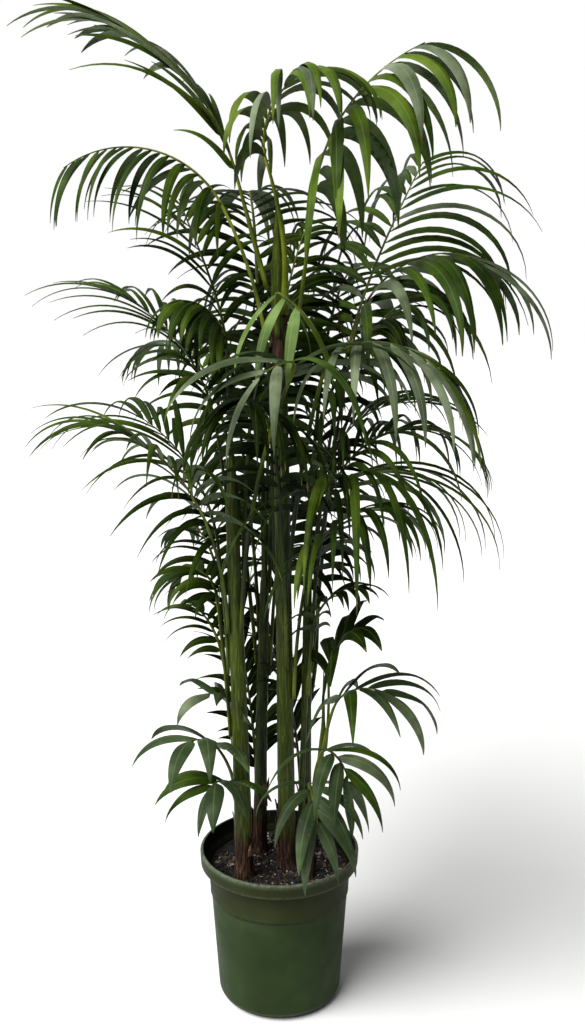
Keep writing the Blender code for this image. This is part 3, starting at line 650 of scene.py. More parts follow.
def make_chips(sizes, pot_sizes):
    """Bark flakes and pale grit scattered over the compost."""
    tree = chip_tree()
    bark = make_chip_material()
    grit = make_grit_material()
    flakes = {"Density": sizes.chip_density, "Length": sizes.chip_length, "Seed": SEED}
    crumbs = {"Density": sizes.grit_density, "Length": sizes.grit_length, "Seed": SEED + 1}
    scattered("bark_flakes", chip_carrier(sizes, pot_sizes, bark), tree, bark, flakes)
    scattered("perlite_crumbs", chip_carrier(sizes, pot_sizes, grit), tree, grit, crumbs)


# Stems


def stem_centre(stem, height):
    """Point of the stem's axis at a height; it leaves the soil upright and leans more as it climbs."""
    share = max(0.0, (height - SOIL_LEVEL - UPRIGHT_FOOT) / (stem.height - SOIL_LEVEL - UPRIGHT_FOOT))
    lean = share**LEAN_GROWTH
    return Vector((lerp(stem.foot[0], stem.top[0], lean), lerp(stem.foot[1], stem.top[1], lean), height))


def stem_radius(stem, height):
    """Taper from the foot to the fork, with the root flare over the lowest few centimetres."""
    share = (height - SOIL_LEVEL) / (stem.height - SOIL_LEVEL)
    flare = max(0.0, 1 - (height - SOIL_LEVEL) / FLARE_HEIGHT) ** 2
    return lerp(stem.radius, stem.tip_radius, share) * (1 + FLARE_GAIN * flare)


def sheath_relief(sizes, stem, height, angle):
    """Share by which wrapped leaf sheaths swell a stem: each starts wide, narrows, and ends in a slanting lip."""
    phase = (len(stem.name) * 0.37) % 1
    slant = 0.22 * sin(angle + phase * tau)
    course = (height - SOIL_LEVEL) / sizes.sheath_length + phase + slant
    within = course % 1
    swell = 0.035 * (1 - within) + 0.03 * max(0.0, 1 - within / 0.06)
    ribs = 0.012 * sin(angle * 9 + int(course) * 1.7)
    rough = 0.02 * noise.noise(Vector((angle * 2, height * 60, phase * 9)))
    return swell + ribs + rough - 0.03


def dryness(sizes, stem, height):
    """How dead the outer sheath is: brown at the foot, and again in a band of fibre under a tall stem's fork."""
    foot = 1 - (height - SOIL_LEVEL) / sizes.dry_foot
    band = 1 - abs(stem.height - sizes.fibre_depth - height) / sizes.fibre_reach
    return max(0.0, foot, band if stem.height > 1.2 else 0.0)


def make_stem_material():
    """Palm stem wrapped in its own leaf sheaths: fibrous red-brown where they have died, waxy olive green above,
    darkened by painted shade on the stems further back and in the crown's core.
    """
    material, tree, shader = new_material("sheathed_palm_stem", 1.45)
    shader.inputs["Specular IOR Level"].default_value = 0.15
    place = add_node(tree, "ShaderNodeTexCoord").outputs["Object"]
    stretched = add_node(tree, "ShaderNodeMapping", values={"Scale": (300.0, 300.0, 22.0)}, links={"Vector": place})
    streaks = noise_at(tree, stretched.outputs["Vector"], 1.0, 4.0, 0.65)
    cloud = noise_at(tree, place, 22.0, 4.0)
    # Lit and shaded copies of the green, mixed by painted shade
    lit = colour_ramp(tree, streaks, ((0.3, "#1e2807"), (0.5, "#36430e"), (0.7, "#565f20")))
    dull = colour_ramp(tree, streaks, ((0.32, "#10170a"), (0.5, "#212b10"), (0.68, "#3b451d")))
    green = mixed(tree, read_paint(tree, "shade"), lit, dull)
    brown = colour_ramp(tree, streaks, ((0.32, "#110b07"), (0.5, "#302118"), (0.7, "#6a5040")))
    uneven = add_node(
        tree, "ShaderNodeMath", {"operation": "MULTIPLY_ADD"}, {1: 1.3}, {0: cloud, 2: read_paint(tree, "dry")}
    )
    dead = stepped(tree, uneven.outputs[0], 0.8, 1.25)
    tree.links.new(mixed(tree, dead, green, brown), shader.inputs["Base Color"])
    tree.links.new(stepped(tree, dead, 0.0, 1.0, 0.45, 0.85), shader.inputs["Roughness"])
    # Fibres are about 0.3 mm wide in life, and drawn at about 1 mm
    bumped(tree, shader, streaks, 0.0008, 0.6)
    return material


def flap_outline(share):
    """Share of its full width that a torn sheath keeps: broad where it clasps, ragged and pointed at its free end."""
    return (1 - share) ** 0.6 * (1 - 0.25 * abs(sin(share * 19)))


def dry_flap(sizes, stem, height, angle, width, length, random):
    """Points and faces of one dead sheath that clasps a stem, frays upwards and curls away from it."""
    rows = sizes.flap_rows
    columns = sizes.flap_columns
    curl = random.uniform(0.4, 1.0) * sizes.flap_curl
    lean = random.uniform(-0.5, 0.5)
    skins = []
    for depth in (0.0, sizes.flap_thickness):
        skin = []
        for row in range(rows + 1):
            share = row / rows
            level = height + length * share
            centre = stem_centre(stem, level)
            reach = stem_radius(stem, level) * 1.03 + 0.0004 + curl * share**2 - depth
            half = width / 2 * flap_outline(share)
            for column in range(columns + 1):
                side = 2 * column / columns - 1
                turn = angle + half * side + lean * share
                ripple = 0.0008 * sin(5 * side + 9 * share)
                skin.append(centre + Vector(((reach + ripple) * cos(turn), (reach + ripple) * sin(turn), 0)))
        skins.append(skin)
    across = columns + 1
    count = len(skins[0])
    faces = []
    for row in range(rows):
        for column in range(columns):
            corner = row * across + column
            quad = (corner, corner + 1, corner + across + 1, corner + across)
            faces.append(quad)
            faces.append(tuple(count + place for place in reversed(quad)))
    edge = list(range(across))
    edge += [row * across + columns for row in range(1, rows + 1)]
    edge += [rows * across + column for column in range(columns - 1, -1, -1)]
    edge += [row * across for row in range(rows - 1, 0, -1)]
    for first, second in zip(edge, edge[1:] + edge[:1]):
        faces.append((second, first, count + first, count + second))
    return skins[0] + skins[1], faces


def make_husk_material():
    """Dead leaf sheath: papery red-brown fibre, bleached to tan along its torn edges."""
    material, tree, shader = new_material("dry_palm_sheath", 1.45)
    shader.inputs["Specular IOR Level"].default_value = 0.15
    place = add_node(tree, "ShaderNodeTexCoord").outputs["Object"]
    stretched = add_node(tree, "ShaderNodeMapping", values={"Scale": (420.0, 420.0, 30.0)}, links={"Vector": place})
    fibres = noise_at(tree, stretched.outputs["Vector"], 1.0, 3.0)
    patch = noise_at(tree, place, 40.0, 2.0)
    dark = colour_ramp(tree, fibres, ((0.32, "#1b100b"), (0.5, "#3b241b"), (0.68, "#5f3f30")))
    bleached = colour_ramp(tree, fibres, ((0.32, "#4b3428"), (0.5, "#7d5d4c"), (0.68, "#a88a76")))
    tree.links.new(mixed(tree, stepped(tree, patch, 0.48, 0.62), dark, bleached), shader.inputs["Base Color"])
    roughened(tree, shader, patch, 0.75, 0.95)
    bumped(tree, shader, fibres, 0.0006, 0.7)
    return material


def make_husks(sizes):
    """Dead sheaths round the stems' feet and, thinner, in the fibre band of the tall stem."""
    verts = []
    faces = []
    for stem in STEMS:
        random = Random(f"{stem.name} husks")
        places = [random.uniform(0.002, sizes.dry_foot * 0.75) for _ in range(sizes.foot_flaps)]
        if stem.height > 1.2:
            band = stem.height - SOIL_LEVEL - sizes.fibre_depth
            places += [band + random.uniform(-1, 0.6) * sizes.fibre_reach for _ in range(sizes.band_flaps)]
        for place in places:
            length = random.uniform(0.5, 1.0) * sizes.flap_length
            angle = random.uniform(0, tau)
            width = random.uniform(0.8, 2.0)
            skin = dry_flap(sizes, stem, SOIL_LEVEL + place, angle, width, length, random)
            first = len(verts)
            verts += skin[0]
            faces += [tuple(first + corner for corner in face) for face in skin[1]]
    husks = piece_from("dry_sheaths", verts, faces, make_husk_material())
    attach(husks, "root")
    return husks


def spear(sizes, stem, ring):
    """Rings of the folded new leaf that closes a stem: it narrows to a point straight above."""
    centre = stem_centre(stem, stem.height)
    rings = []
    for step in range(1, sizes.spear_steps + 1):
        share = step / sizes.spear_steps
        narrow = (1 - share) ** 0.7 * 0.8 + 0.02
        rings.append([centre + (point - centre) * narrow + Vector((0, 0, sizes.spear * share)) for point in ring])
    return rings


def make_stems(sizes):
    """Every stem as one mesh with the relief of its wrapped sheaths."""
    verts = []
    faces = []
    dry = []
    shade = []
    for stem in STEMS:
        foot = SOIL_LEVEL + SEAT_GAP - sizes.sink
        rows = int((stem.height - foot) / sizes.ring_spacing)
        rings = []
        for row in range(rows + 1):
            height = lerp(foot, stem.height, row / rows)
            centre = stem_centre(stem, height)
            ring = []
            for step in range(sizes.sides):
                angle = tau * step / sizes.sides
                radius = stem_radius(stem, max(height, SOIL_LEVEL)) * (1 + sheath_relief(sizes, stem, height, angle))
                ring.append(centre + Vector((radius * cos(angle), radius * sin(angle), 0)))
            rings.append(ring)
        loft(verts, faces, rings + spear(sizes, stem, rings[-1]))
        added = verts[len(dry) :]
        dry += [dryness(sizes, stem, vert.z) for vert in added]
        # Painted shade: each stem's own share, none on the top under the fork, and more in the crown's core
        own = SHADES.get(stem.name, 1.0)
        for vert in added:
            unshaded = vert.z > stem.height - sizes.unshaded_top
            shade.append(max(0.0 if unshaded else own, painted_core_shade(vert) * (0.45 + own)))
    stems = piece_from("sheathed_stems", verts, faces, make_stem_material())
    paint(stems.data, "dry", dry)
    paint(stems.data, "shade", shade)
    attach(stems, "root")
    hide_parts(*[stem.name for stem in STEMS])
    return stems


def painted_core_shade(point):
    """How far a point lies in the crown's shaded core: leaves, ribs and stems there are given painted shade, a darker
    green.
    """
    beside = 1 - (hypot(point.x, point.y) - CORE_RADIUS) / CORE_FADE
    level = 1 - (abs(point.z - CORE_LEVEL) - CORE_REACH) / CORE_FADE
    return max(0.0, min(1.0, beside)) * max(0.0, min(1.0, level))


# Fronds: the axis, as in the solids


def rise_at(frond, length):
    if length < frond.petiole:
        return lerp(frond.rise, frond.neck, length / frond.petiole)
    return lerp(frond.neck, frond.tip, (length - frond.petiole) / frond.blade)


def heading_at(frond, length):
    """Heading of the frond's axis: it swings from the clasp soon after the foot, and turns over the blade."""
    swing = (frond.heading - frond.clasp + 180) % 360 - 180
    left_over = max(0.0, 1 - length / (frond.petiole * CLASP_SHARE))
    return frond.heading - swing * left_over + frond.turn * max(0.0, length - frond.petiole) / frond.blade


def frond_foot(frond):
    """Where the petiole's foot stands against its stem."""
    stem = next(stem for stem in STEMS if stem.name == frond.stem)
    reach = stem_radius(stem, frond.foot) + SEAT_GAP + frond.girth * CREST
    return stem_centre(stem, frond.foot) + bearing(frond.clasp, 0) * reach


def stations(frond, count):
    """Places along the petiole and the blade, with the axis, side and upper directions at each."""
    petiole = [frond.petiole * step / PETIOLE_STEPS for step in range(PETIOLE_STEPS + 1)]
    blade = [frond.petiole + frond.blade * step / count for step in range(1, count + 1)]
    place = frond_foot(frond)
    reached = 0.0
    found = []
    for length in petiole + blade:
        middle = (reached + length) / 2
        place = place + bearing(heading_at(frond, middle), rise_at(frond, middle)) * (length - reached)
        reached = length
        along = bearing(heading_at(frond, length), rise_at(frond, length))
        share = max(0.0, length - frond.petiole) / frond.blade
        level = bearing(heading_at(frond, length) + 90, 0)
        side = Quaternion(along, radians(frond.roll * share)) @ level
        found.append(Station(place, along, side, along.cross(side)))
    return found


def half_width(frond, index, last):
    if index <= PETIOLE_STEPS:
        return lerp(frond.girth, RIB_NECK, index / PETIOLE_STEPS)
    return lerp(RIB_NECK, RIB_TIP, (index - PETIOLE_STEPS) / (last - PETIOLE_STEPS))


def leaflet_count(sizes, frond):
    """Broad leaflets, and those of sparse fronds, stay as many as in the solids; the others are finer and more."""
    count = 2 * frond.pairs + 1
    return count if frond.width >= BROAD_WIDTH or frond.name in SPARSE else round(count * sizes.finer)


def rib_ring(station, half, sides):
    """Section of a petiole or rib: rounded below and flattened above."""
    ring = []
    for step in range(sides):
        angle = tau * step / sides
        upward = sin(angle) * (0.45 if sin(angle) > 0 else 0.9)
        ring.append(station.place + station.side * half * -cos(angle) + station.up * half * upward)
    return ring


def make_petiole_material():
    """Living petiole and rib: a waxy yellow-green skin, mottled and finely pitted, darkened by painted shade in the
    crown's core and on all ribs but the palest.
    """
    material, tree, shader = new_material("waxy_green_petiole", 1.45)
    shader.inputs["Specular IOR Level"].default_value = 0.2
    place = add_node(tree, "ShaderNodeTexCoord").outputs["Object"]
    cloud = noise_at(tree, place, 14.0, 3.0)
    stops = ((0.3, "#333e0c"), (0.5, "#596614"), (0.7, "#8a9528"))
    # Painted shade in the crown's core and on the darker ribs
    shaded = colour_ramp(tree, cloud, ((0.3, "#0d1405"), (0.7, "#28340f")))
    green = mixed(tree, read_paint(tree, "inner"), colour_ramp(tree, cloud, stops), shaded)
    tree.links.new(green, shader.inputs["Base Color"])
    roughened(tree, shader, cloud, 0.35, 0.5)
    bumped(tree, shader, noise_at(tree, place, 500.0, 2.0), 0.0003, 0.4)
    return material


def make_ribs(sizes):
    """Petioles and ribs of every frond as one mesh of tapering tubes."""
    verts = []
    faces = []
    inner = []
    for frond in FRONDS:
        line = stations(frond, leaflet_count(sizes, frond))
        last = len(line) - 1
        rings = [rib_ring(station, half_width(frond, index, last), sizes.rib_sides) for index, station in enumerate(line)]
        loft(verts, faces, rings)
        # Painted shade on all ribs but the pale ones, and more in the crown's core
        own = 0.0 if frond.name in PALE_RIBS else 0.55
        inner += [max(own, painted_core_shade(vert)) for vert in verts[len(inner) :]]
    ribs = piece_from("petioles_and_ribs", verts, faces, make_petiole_material())
    paint(ribs.data, "inner", inner)
    nodes = [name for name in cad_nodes() if name.startswith(("petiole_", "frond_"))]
    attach(ribs, "root")
    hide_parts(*nodes)
    return ribs


# Fronds: the leaflets


def leaflet_length(frond, share):
    """Longest a third of the way along the blade, shorter at the neck and shortest at the tip."""
    if share < FULLEST_AT:
        return frond.leaflet * (1 - NECK_SHORTENING * (1 - share / FULLEST_AT) ** 2)
    return frond.leaflet * (1 - TIP_SHORTENING * ((share - FULLEST_AT) / (1 - FULLEST_AT)) ** 1.5)


def breadth_at(share):
    """Share of the full width along a leaflet: narrow collar, widest at a third, long drawn-out point."""
    return 0.12 * (1 - share) + 0.88 * sin(pi * share**0.65) ** 0.8


def leaflet_skin(sizes, root, station, hand, start, droop, growth, length, width, twist):
    """Points, faces and UVs of one folded leaflet that sags in an upright plane and turns its flat side up.

    The twist turns its blade about its own length on the way to the tip.
    """
    down = Vector((0, 0, -1))
    axis = start.cross(down).normalized()
    sag = min(radians(droop), start.angle(down))
    broad = (station.along - start * station.along.dot(start)).normalized()
    level = axis if axis.dot(broad) > 0 else -axis
    place = root.copy()
    points = []
    uvs = []
    steps = sizes.bends
    for step in range(steps + 1):
        share = step / steps
        if step:
            middle = (step - 0.5) / steps
            place = place + Quaternion(axis, sag * middle**growth) @ start * (length / steps)
        turned = Quaternion(axis, sag * share**growth)
        along = turned @ start
        across = (turned @ broad).lerp(level, FLATTENING * share)
        across = Quaternion(along, twist * share) @ (across - along * across.dot(along)).normalized()
        normal = across.cross(along) * hand
        half = width / 2 * breadth_at(min(share, 0.985))
        fold = half * sizes.fold
        thick = sizes.thickness / 2
        points += [
            place - across * half - normal * fold,
            place + normal * thick,
            place + across * half - normal * fold,
            place - normal * thick,
        ]
        uvs += [(0.0, share), (0.5, share), (1.0, share), (0.5, share)]
    faces = []
    for row in range(steps):
        for corner in range(4):
            following = (corner + 1) % 4
            lower = row * 4
            quad = (lower + corner, lower + following, lower + 4 + following, lower + 4 + corner)
            faces.append(quad if hand > 0 else quad[::-1])
    ends = ((3, 2, 1, 0), tuple(steps * 4 + corner for corner in range(4)))
    faces += [end if hand > 0 else end[::-1] for end in ends]
    return points, faces, uvs


def tone_of(frond, random):
    """Kind of leaf for one leaflet: mostly its frond's own, now and then another."""
    own = TONES.get(frond.name, "dark")
    if random.random() < OWN_TONE_SHARE:
        return own
    return random.choice(SECOND_TONES.get(frond.name, ("dark", own) if own in ("deep", "silver") else ("dark", "olive")))


def gather_leaflets(sizes):
    """Skins of every leaflet, by kind of leaf."""
    gathered = {kind: ([], [], []) for kind in KINDS}
    for frond in FRONDS:
        random = Random(f"{SEED} {frond.name}")
        finish = Random(f"{frond.name} finish")
        count = leaflet_count(sizes, frond)
        line = stations(frond, count)
        for index in range(count):
            share = (index + 0.5) / count
            station = line[PETIOLE_STEPS + index]
            hand = 1 if index % 2 == 0 else -1
            half = lerp(RIB_NECK, RIB_TIP, share)
            root = station.place.lerp(line[PETIOLE_STEPS + index + 1].place, 0.5) + station.side * hand * half * 0.4
            spread = lerp(frond.spread, TIP_SPREAD, share) + random.uniform(-ANGLE_JITTER, ANGLE_JITTER)
            lift = frond.lift + random.uniform(-ANGLE_JITTER, ANGLE_JITTER)
            droop = frond.droop + 2 * random.uniform(-ANGLE_JITTER, ANGLE_JITTER)
            stray = sizes.unevenness * (2.5 if frond.name in SPARSE else 1)
            spread += finish.uniform(-1, 1) * stray
            lift += finish.uniform(-1, 1) * stray
            droop += finish.uniform(-2, 2) * stray
            length = leaflet_length(frond, share) * (1 - LENGTH_JITTER * random.random()) * finish.uniform(0.84, 1.0)
            outward = station.side * hand * cos(radians(lift)) + station.up * sin(radians(lift))
            start = (station.along * cos(radians(spread)) + outward * sin(radians(spread))).normalized()
            narrower = sizes.narrower if frond.width < BROAD_WIDTH or frond.name in SLENDER else sizes.broad_narrower
            width = frond.width * narrower * finish.uniform(0.85, 1.12)
            twist = finish.uniform(-sizes.twist, sizes.twist)
            growth = STIFF_GROWTH if frond.name in STIFF else SAG_GROWTH
            skin = leaflet_skin(sizes, root, station, hand, start, droop, growth, length, width, twist)
            verts, faces, uvs = gathered[tone_of(frond, finish)]
            first = len(verts)
            verts += skin[0]
            faces += [tuple(first + corner for corner in face) for face in skin[1]]
            uvs += skin[2]
    return gathered


LEAF_GLOSS = {"deep": 0.06, "dark": 0.15, "olive": 0.18, "grey": 0.2, "silver": 0.2, "bright": 0.2}
# Greens of each kind: the deep kind is painted shade, the silver and grey kinds are greyed by painted sheen
LEAF_COLOURS = {
    "deep": ("#091101", "#131f02", "#253407"),
    "dark": ("#162604", "#283d08", "#435912"),
    "olive": ("#2b3b07", "#455c0e", "#647726"),
    "grey": ("#202c15", "#324224", "#4e5f3e"),
    "silver": ("#313c27", "#4c583c", "#7a8669"),
    "bright": ("#405423", "#577033", "#80955a"),
}


def make_leaf_material(kind):
    """Leathery palm leaflet: waxy, finely veined, greyer underneath, paler on its fold, now and then dry at its tip,
    and darkened by painted shade in the crown's core.
    """
    material, tree, shader = new_material(f"waxy_palm_leaflet_{kind}", 1.4)
    shader.inputs["Specular IOR Level"].default_value = LEAF_GLOSS[kind]
    inner = read_paint(tree, "inner")
    place = add_node(tree, "ShaderNodeTexCoord").outputs["Object"]
    leaf = add_node(tree, "ShaderNodeUVMap", {"uv_map": "leaf"}).outputs["UV"]
    split = add_node(tree, "ShaderNodeSeparateXYZ", links={"Vector": leaf})
    across = split.outputs["X"]
    low, middle, high = LEAF_COLOURS[kind]
    patch = noise_at(tree, place, 11.0, 3.0)
    base = colour_ramp(tree, patch, ((0.32, low), (0.5, middle), (0.68, high)))
    centred = add_node(tree, "ShaderNodeMath", {"operation": "SUBTRACT"}, {1: 0.5}, {0: across}).outputs[0]
    away = add_node(tree, "ShaderNodeMath", {"operation": "ABSOLUTE"}, links={0: centred}).outputs[0]
    ridge = stepped(tree, away, 0.0, 0.06, 0.4, 0.0)
    pale = colour_ramp(tree, patch, ((0.0, high), (1.0, "#7f9054")))
    upper = mixed(tree, ridge, base, pale)
    dull = colour_ramp(tree, patch, ((0.3, low), (0.5, "#4c5b42"), (0.7, "#76846a")))
    greyness = 0.45 if kind == "olive" else 0.7
    sunlit = mixed(tree, stepped(tree, read_paint(tree, "under"), 0.5, 0.56, 0.0, greyness), upper, dull)
    # Painted shade in the crown's core
    shaded = colour_ramp(tree, patch, ((0.3, "#060e01"), (0.7, "#1a2a05")))
    green = mixed(tree, inner, sunlit, shaded)
    dry = colour_ramp(tree, patch, ((0.3, "#5c4a26"), (0.7, "#8c7a4c")))
    end = stepped(tree, split.outputs["Y"], 0.93, 0.99)
    some = stepped(tree, noise_at(tree, place, 7.0, 1.0), 0.54, 0.58)
    parched = multiplied(tree, end, some)
    tree.links.new(mixed(tree, parched, green, dry), shader.inputs["Base Color"])
    # Veins are about 1 mm apart, so some twenty lie across a leaflet
    lines = add_node(tree, "ShaderNodeMath", {"operation": "MULTIPLY"}, {1: 20 * tau}, {0: across}).outputs[0]
    veins = add_node(tree, "ShaderNodeMath", {"operation": "SINE"}, links={0: lines}).outputs[0]
    bumped(tree, shader, veins, 0.0001, 0.5)
    roughened(tree, shader, noise_at(tree, place, 30.0, 2.0), 0.42, 0.6)
    return material


def sharpen_margins(mesh):
    """Shade each leaflet's two faces apart: its margins run through the first and third corner of every section."""
    ends = [0] * (2 * len(mesh.edges))
    mesh.edges.foreach_get("vertices", ends)
    pairs = zip(ends[::2], ends[1::2])
    margins = [first % 4 == second % 4 and first % 2 == 0 for first, second in pairs]
    mesh.edges.foreach_set("use_edge_sharp", margins)


def make_leaflets(sizes):
    """One joined mesh for each kind of leaf."""
    made = []
    nodes = [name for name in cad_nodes() if name.startswith("frond_")]
    for kind, (verts, faces, uvs) in gather_leaflets(sizes).items():
        piece = piece_from(f"leaflets_{kind}", verts, faces, make_leaf_material(kind))
        layer = piece.data.uv_layers.new(name="leaf")
        flat = []
        for loop in piece.data.loops:
            flat.extend(uvs[loop.vertex_index])
        layer.data.foreach_set("uv", flat)
        paint(piece.data, "under", [0.5, 0.0, 0.5, 1.0] * (len(verts) // 4))
        # Painted shade in the crown's core, left off the silver and bright leaflets
        share = 0.0 if kind in ("silver", "bright") else 0.85
        paint(piece.data, "inner", [painted_core_shade(vert) * share for vert in verts])
        sharpen_margins(piece.data)
        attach(piece, "root")
        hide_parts(*nodes)
        made.append(piece)
    return made


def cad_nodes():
    """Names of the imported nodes."""
    return list(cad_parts)


# Stage


def make_floor_material():
    """Seamless studio paper: pale, matte, with a faint grain."""
    material, tree, shader = new_material("seamless_studio_paper")
    place = add_node(tree, "ShaderNodeTexCoord").outputs["Object"]
    grain = noise_at(tree, place, 3.0, 2.0)
    tree.links.new(colour_ramp(tree, grain, ((0.0, "#f4f4f2"), (1.0, "#f8f8f7"))), shader.inputs["Base Color"])
    roughened(tree, shader, grain, 0.85, 0.95)
    return material


def add_light(name, kind, place, target, settings):
    """A light of one kind that faces its target."""
    data = bpy.data.lights.new(name, kind)
    for setting, value in settings.items():
        setattr(data, setting, value)
    light = bpy.data.objects.new(name, data)
    light.location = place
    light.rotation_euler = (Vector(target) - Vector(place)).to_track_quat("-Z", "Y").to_euler()
    bpy.context.scene.collection.objects.link(light)


def make_surroundings(sizes):
    """A white studio that looks brighter to the camera than the light it sheds on the plant."""
    world = bpy.data.worlds.new("studio")
    world.use_nodes = True
    tree = world.node_tree
    shed = tree.nodes["Background"]
    shed.inputs["Color"].default_value = (1, 1, 1, 1)
    shed.inputs["Strength"].default_value = sizes.surroundings
    seen = add_node(tree, "ShaderNodeBackground", values={"Color": (1, 1, 1, 1), "Strength": 1.0})
    ray = add_node(tree, "ShaderNodeLightPath").outputs["Is Camera Ray"]
    both = add_node(tree, "ShaderNodeMixShader", links={0: ray, 1: shed.outputs[0], 2: seen.outputs[0]})
    tree.links.new(both.outputs[0], tree.nodes["World Output"].inputs["Surface"])
    bpy.context.scene.world = world


def make_stage(sizes):
    """Floor, soft lights, pale surroundings and the camera at the photograph's angle."""
    reach = sizes.floor
    corners = [Vector((x * reach, y * reach, 0)) for x, y in ((-1, -1), (1, -1), (1, 1), (-1, 1))]
    floor = piece_from("studio_floor", corners, [(0, 1, 2, 3)], make_floor_material(), smooth=False)
    middle = (0, 0, 0.9)
    add_light("key", "SUN", (-2.3, -1.7, 3.9), middle, {"energy": sizes.key_strength, "angle": sizes.key_softness})
    add_light("rim", "AREA", (-0.8, 2.6, 3.0), middle, {"size": 2.0, "energy": sizes.rim_power})
    make_surroundings(sizes)
    data = bpy.data.cameras.new("photo_view")
    data.lens = sizes.lens
    data.sensor_width = 36.0
    camera = bpy.data.objects.new("photo_view", data)
    camera.location = (0, -sizes.distance, sizes.eye_height)
    camera.rotation_euler = (pi / 2 - sizes.pitch, 0, -sizes.yaw)
    bpy.context.scene.collection.objects.link(camera)
    bpy.context.scene.camera = camera
    bpy.context.scene.view_settings.view_transform = "Standard"


# Add-on


class PotSizes(bpy.types.PropertyGroup):
    """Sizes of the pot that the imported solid's box doesn't give."""

    rim_depth: FloatProperty(name="Rim depth", description="Height of the rolled band", default=0.028, unit="LENGTH")
    rim_rounding: FloatProperty(name="Rim rounding", description="Radius of the roll", default=0.004, unit="LENGTH")
    lip_radius: FloatProperty(name="Lip radius", description="Inner radius of the band", default=0.143, unit="LENGTH")
    shoulder_radius: FloatProperty(
        name="Shoulder radius", description="Outer radius under the band", default=0.135, unit="LENGTH"
    )
    shoulder_drop: FloatProperty(name="Shoulder drop", description="Slope under the band", default=0.005, unit="LENGTH")
    ridge_height: FloatProperty(name="Ridge height", description="Height of the thin ridge", default=0.214, unit="LENGTH")
    ridge_step: FloatProperty(name="Ridge step", description="Relief of the thin ridge", default=0.0016, unit="LENGTH")
    foot_radius: FloatProperty(name="Foot radius", description="Outer radius at the foot", default=0.117, unit="LENGTH")
    foot_rounding: FloatProperty(name="Foot rounding", description="Radius of the foot", default=0.022, unit="LENGTH")
    wall: FloatProperty(name="Wall", description="Thickness of the wall", default=0.0032, unit="LENGTH")
    wear: FloatProperty(name="Wear", description="Width of a rubbed edge", default=0.006, unit="LENGTH")
    steps: IntProperty(name="Steps", description="Faces round the pot", default=144)


class SoilSizes(bpy.types.PropertyGroup):
    """Sizes of the compost and its bark flakes."""

    depth: FloatProperty(name="Depth", description="Depth of the visible crust", default=0.02, unit="LENGTH")
    rings: IntProperty(name="Rings", description="Rings of the lumpy surface", default=40)
    steps: IntProperty(name="Steps", description="Faces round the surface", default=96)
    chip_length: FloatProperty(name="Chip length", description="Longest half length", default=0.008, unit="LENGTH")
    chip_density: FloatProperty(name="Chip density", description="Flakes on a square metre", default=17000.0)
    grit_length: FloatProperty(name="Grit length", description="Longest half length", default=0.0034, unit="LENGTH")
    grit_density: FloatProperty(name="Grit density", description="Crumbs on a square metre", default=11000.0)


class StemSizes(bpy.types.PropertyGroup):
    """Fineness and relief of the stems."""

    sides: IntProperty(name="Sides", description="Faces round a stem", default=28)
    ring_spacing: FloatProperty(name="Ring spacing", description="Between rings", default=0.005, unit="LENGTH")
    sheath_length: FloatProperty(name="Sheath length", description="Between lips", default=0.085, unit="LENGTH")
    dry_foot: FloatProperty(name="Dry foot", description="Height of the dead sheaths", default=0.14, unit="LENGTH")
    fibre_depth: FloatProperty(name="Fibre depth", description="Fork to fibre band", default=0.16, unit="LENGTH")
    fibre_reach: FloatProperty(name="Fibre reach", description="Half height of the band", default=0.09, unit="LENGTH")
    foot_flaps: IntProperty(name="Foot flaps", description="Dead sheaths round a foot", default=4)
    band_flaps: IntProperty(name="Band flaps", description="Dead sheaths in the fibre band", default=7)
    flap_length: FloatProperty(name="Flap length", description="Longest dead sheath", default=0.06, unit="LENGTH")
    flap_curl: FloatProperty(name="Flap curl", description="Gape of its free end", default=0.008, unit="LENGTH")
    flap_thickness: FloatProperty(name="Flap thickness", description="Dead sheath", default=0.0007, unit="LENGTH")
    flap_rows: IntProperty(name="Flap rows", description="Segments along a dead sheath", default=14)
    flap_columns: IntProperty(name="Flap columns", description="Segments across it", default=8)
    spear: FloatProperty(name="Spear", description="Length of the folded new leaf", default=0.12, unit="LENGTH")
    # The top under the fork is left without a stem's own painted shade
    unshaded_top: FloatProperty(name="Fresh top", description="Palest green under the fork", default=0.06, unit="LENGTH")
    spear_steps: IntProperty(name="Spear steps", description="Rings along the folded new leaf", default=8)
    sink: FloatProperty(name="Sink", description="How far a foot stands in the compost", default=0.006, unit="LENGTH")


class LeafSizes(bpy.types.PropertyGroup):
    """Fineness of the fronds."""

    finer: FloatProperty(name="Finer", description="Leaflets for each one of the solids", default=1.5)
    narrower: FloatProperty(name="Narrower", description="Width against the solids'", default=0.76)
    broad_narrower: FloatProperty(name="Broad narrower", description="The same, of broad leaflets", default=0.9)
    fold: FloatProperty(name="Fold", description="Drop of a leaflet's edges against its half width", default=0.35)
    thickness: FloatProperty(name="Thickness", description="At the ridge", default=0.0008, unit="LENGTH")
    unevenness: FloatProperty(name="Unevenness", description="Stray of a leaflet's angles in degrees", default=6.0)
    twist: FloatProperty(
        name="Twist", description="Most that a leaflet turns about its length", default=radians(40.0), subtype="ANGLE"
    )
    bends: IntProperty(name="Bends", description="Segments along a leaflet", default=14)
    rib_sides: IntProperty(name="Rib sides", description="Faces round a rib", default=10)


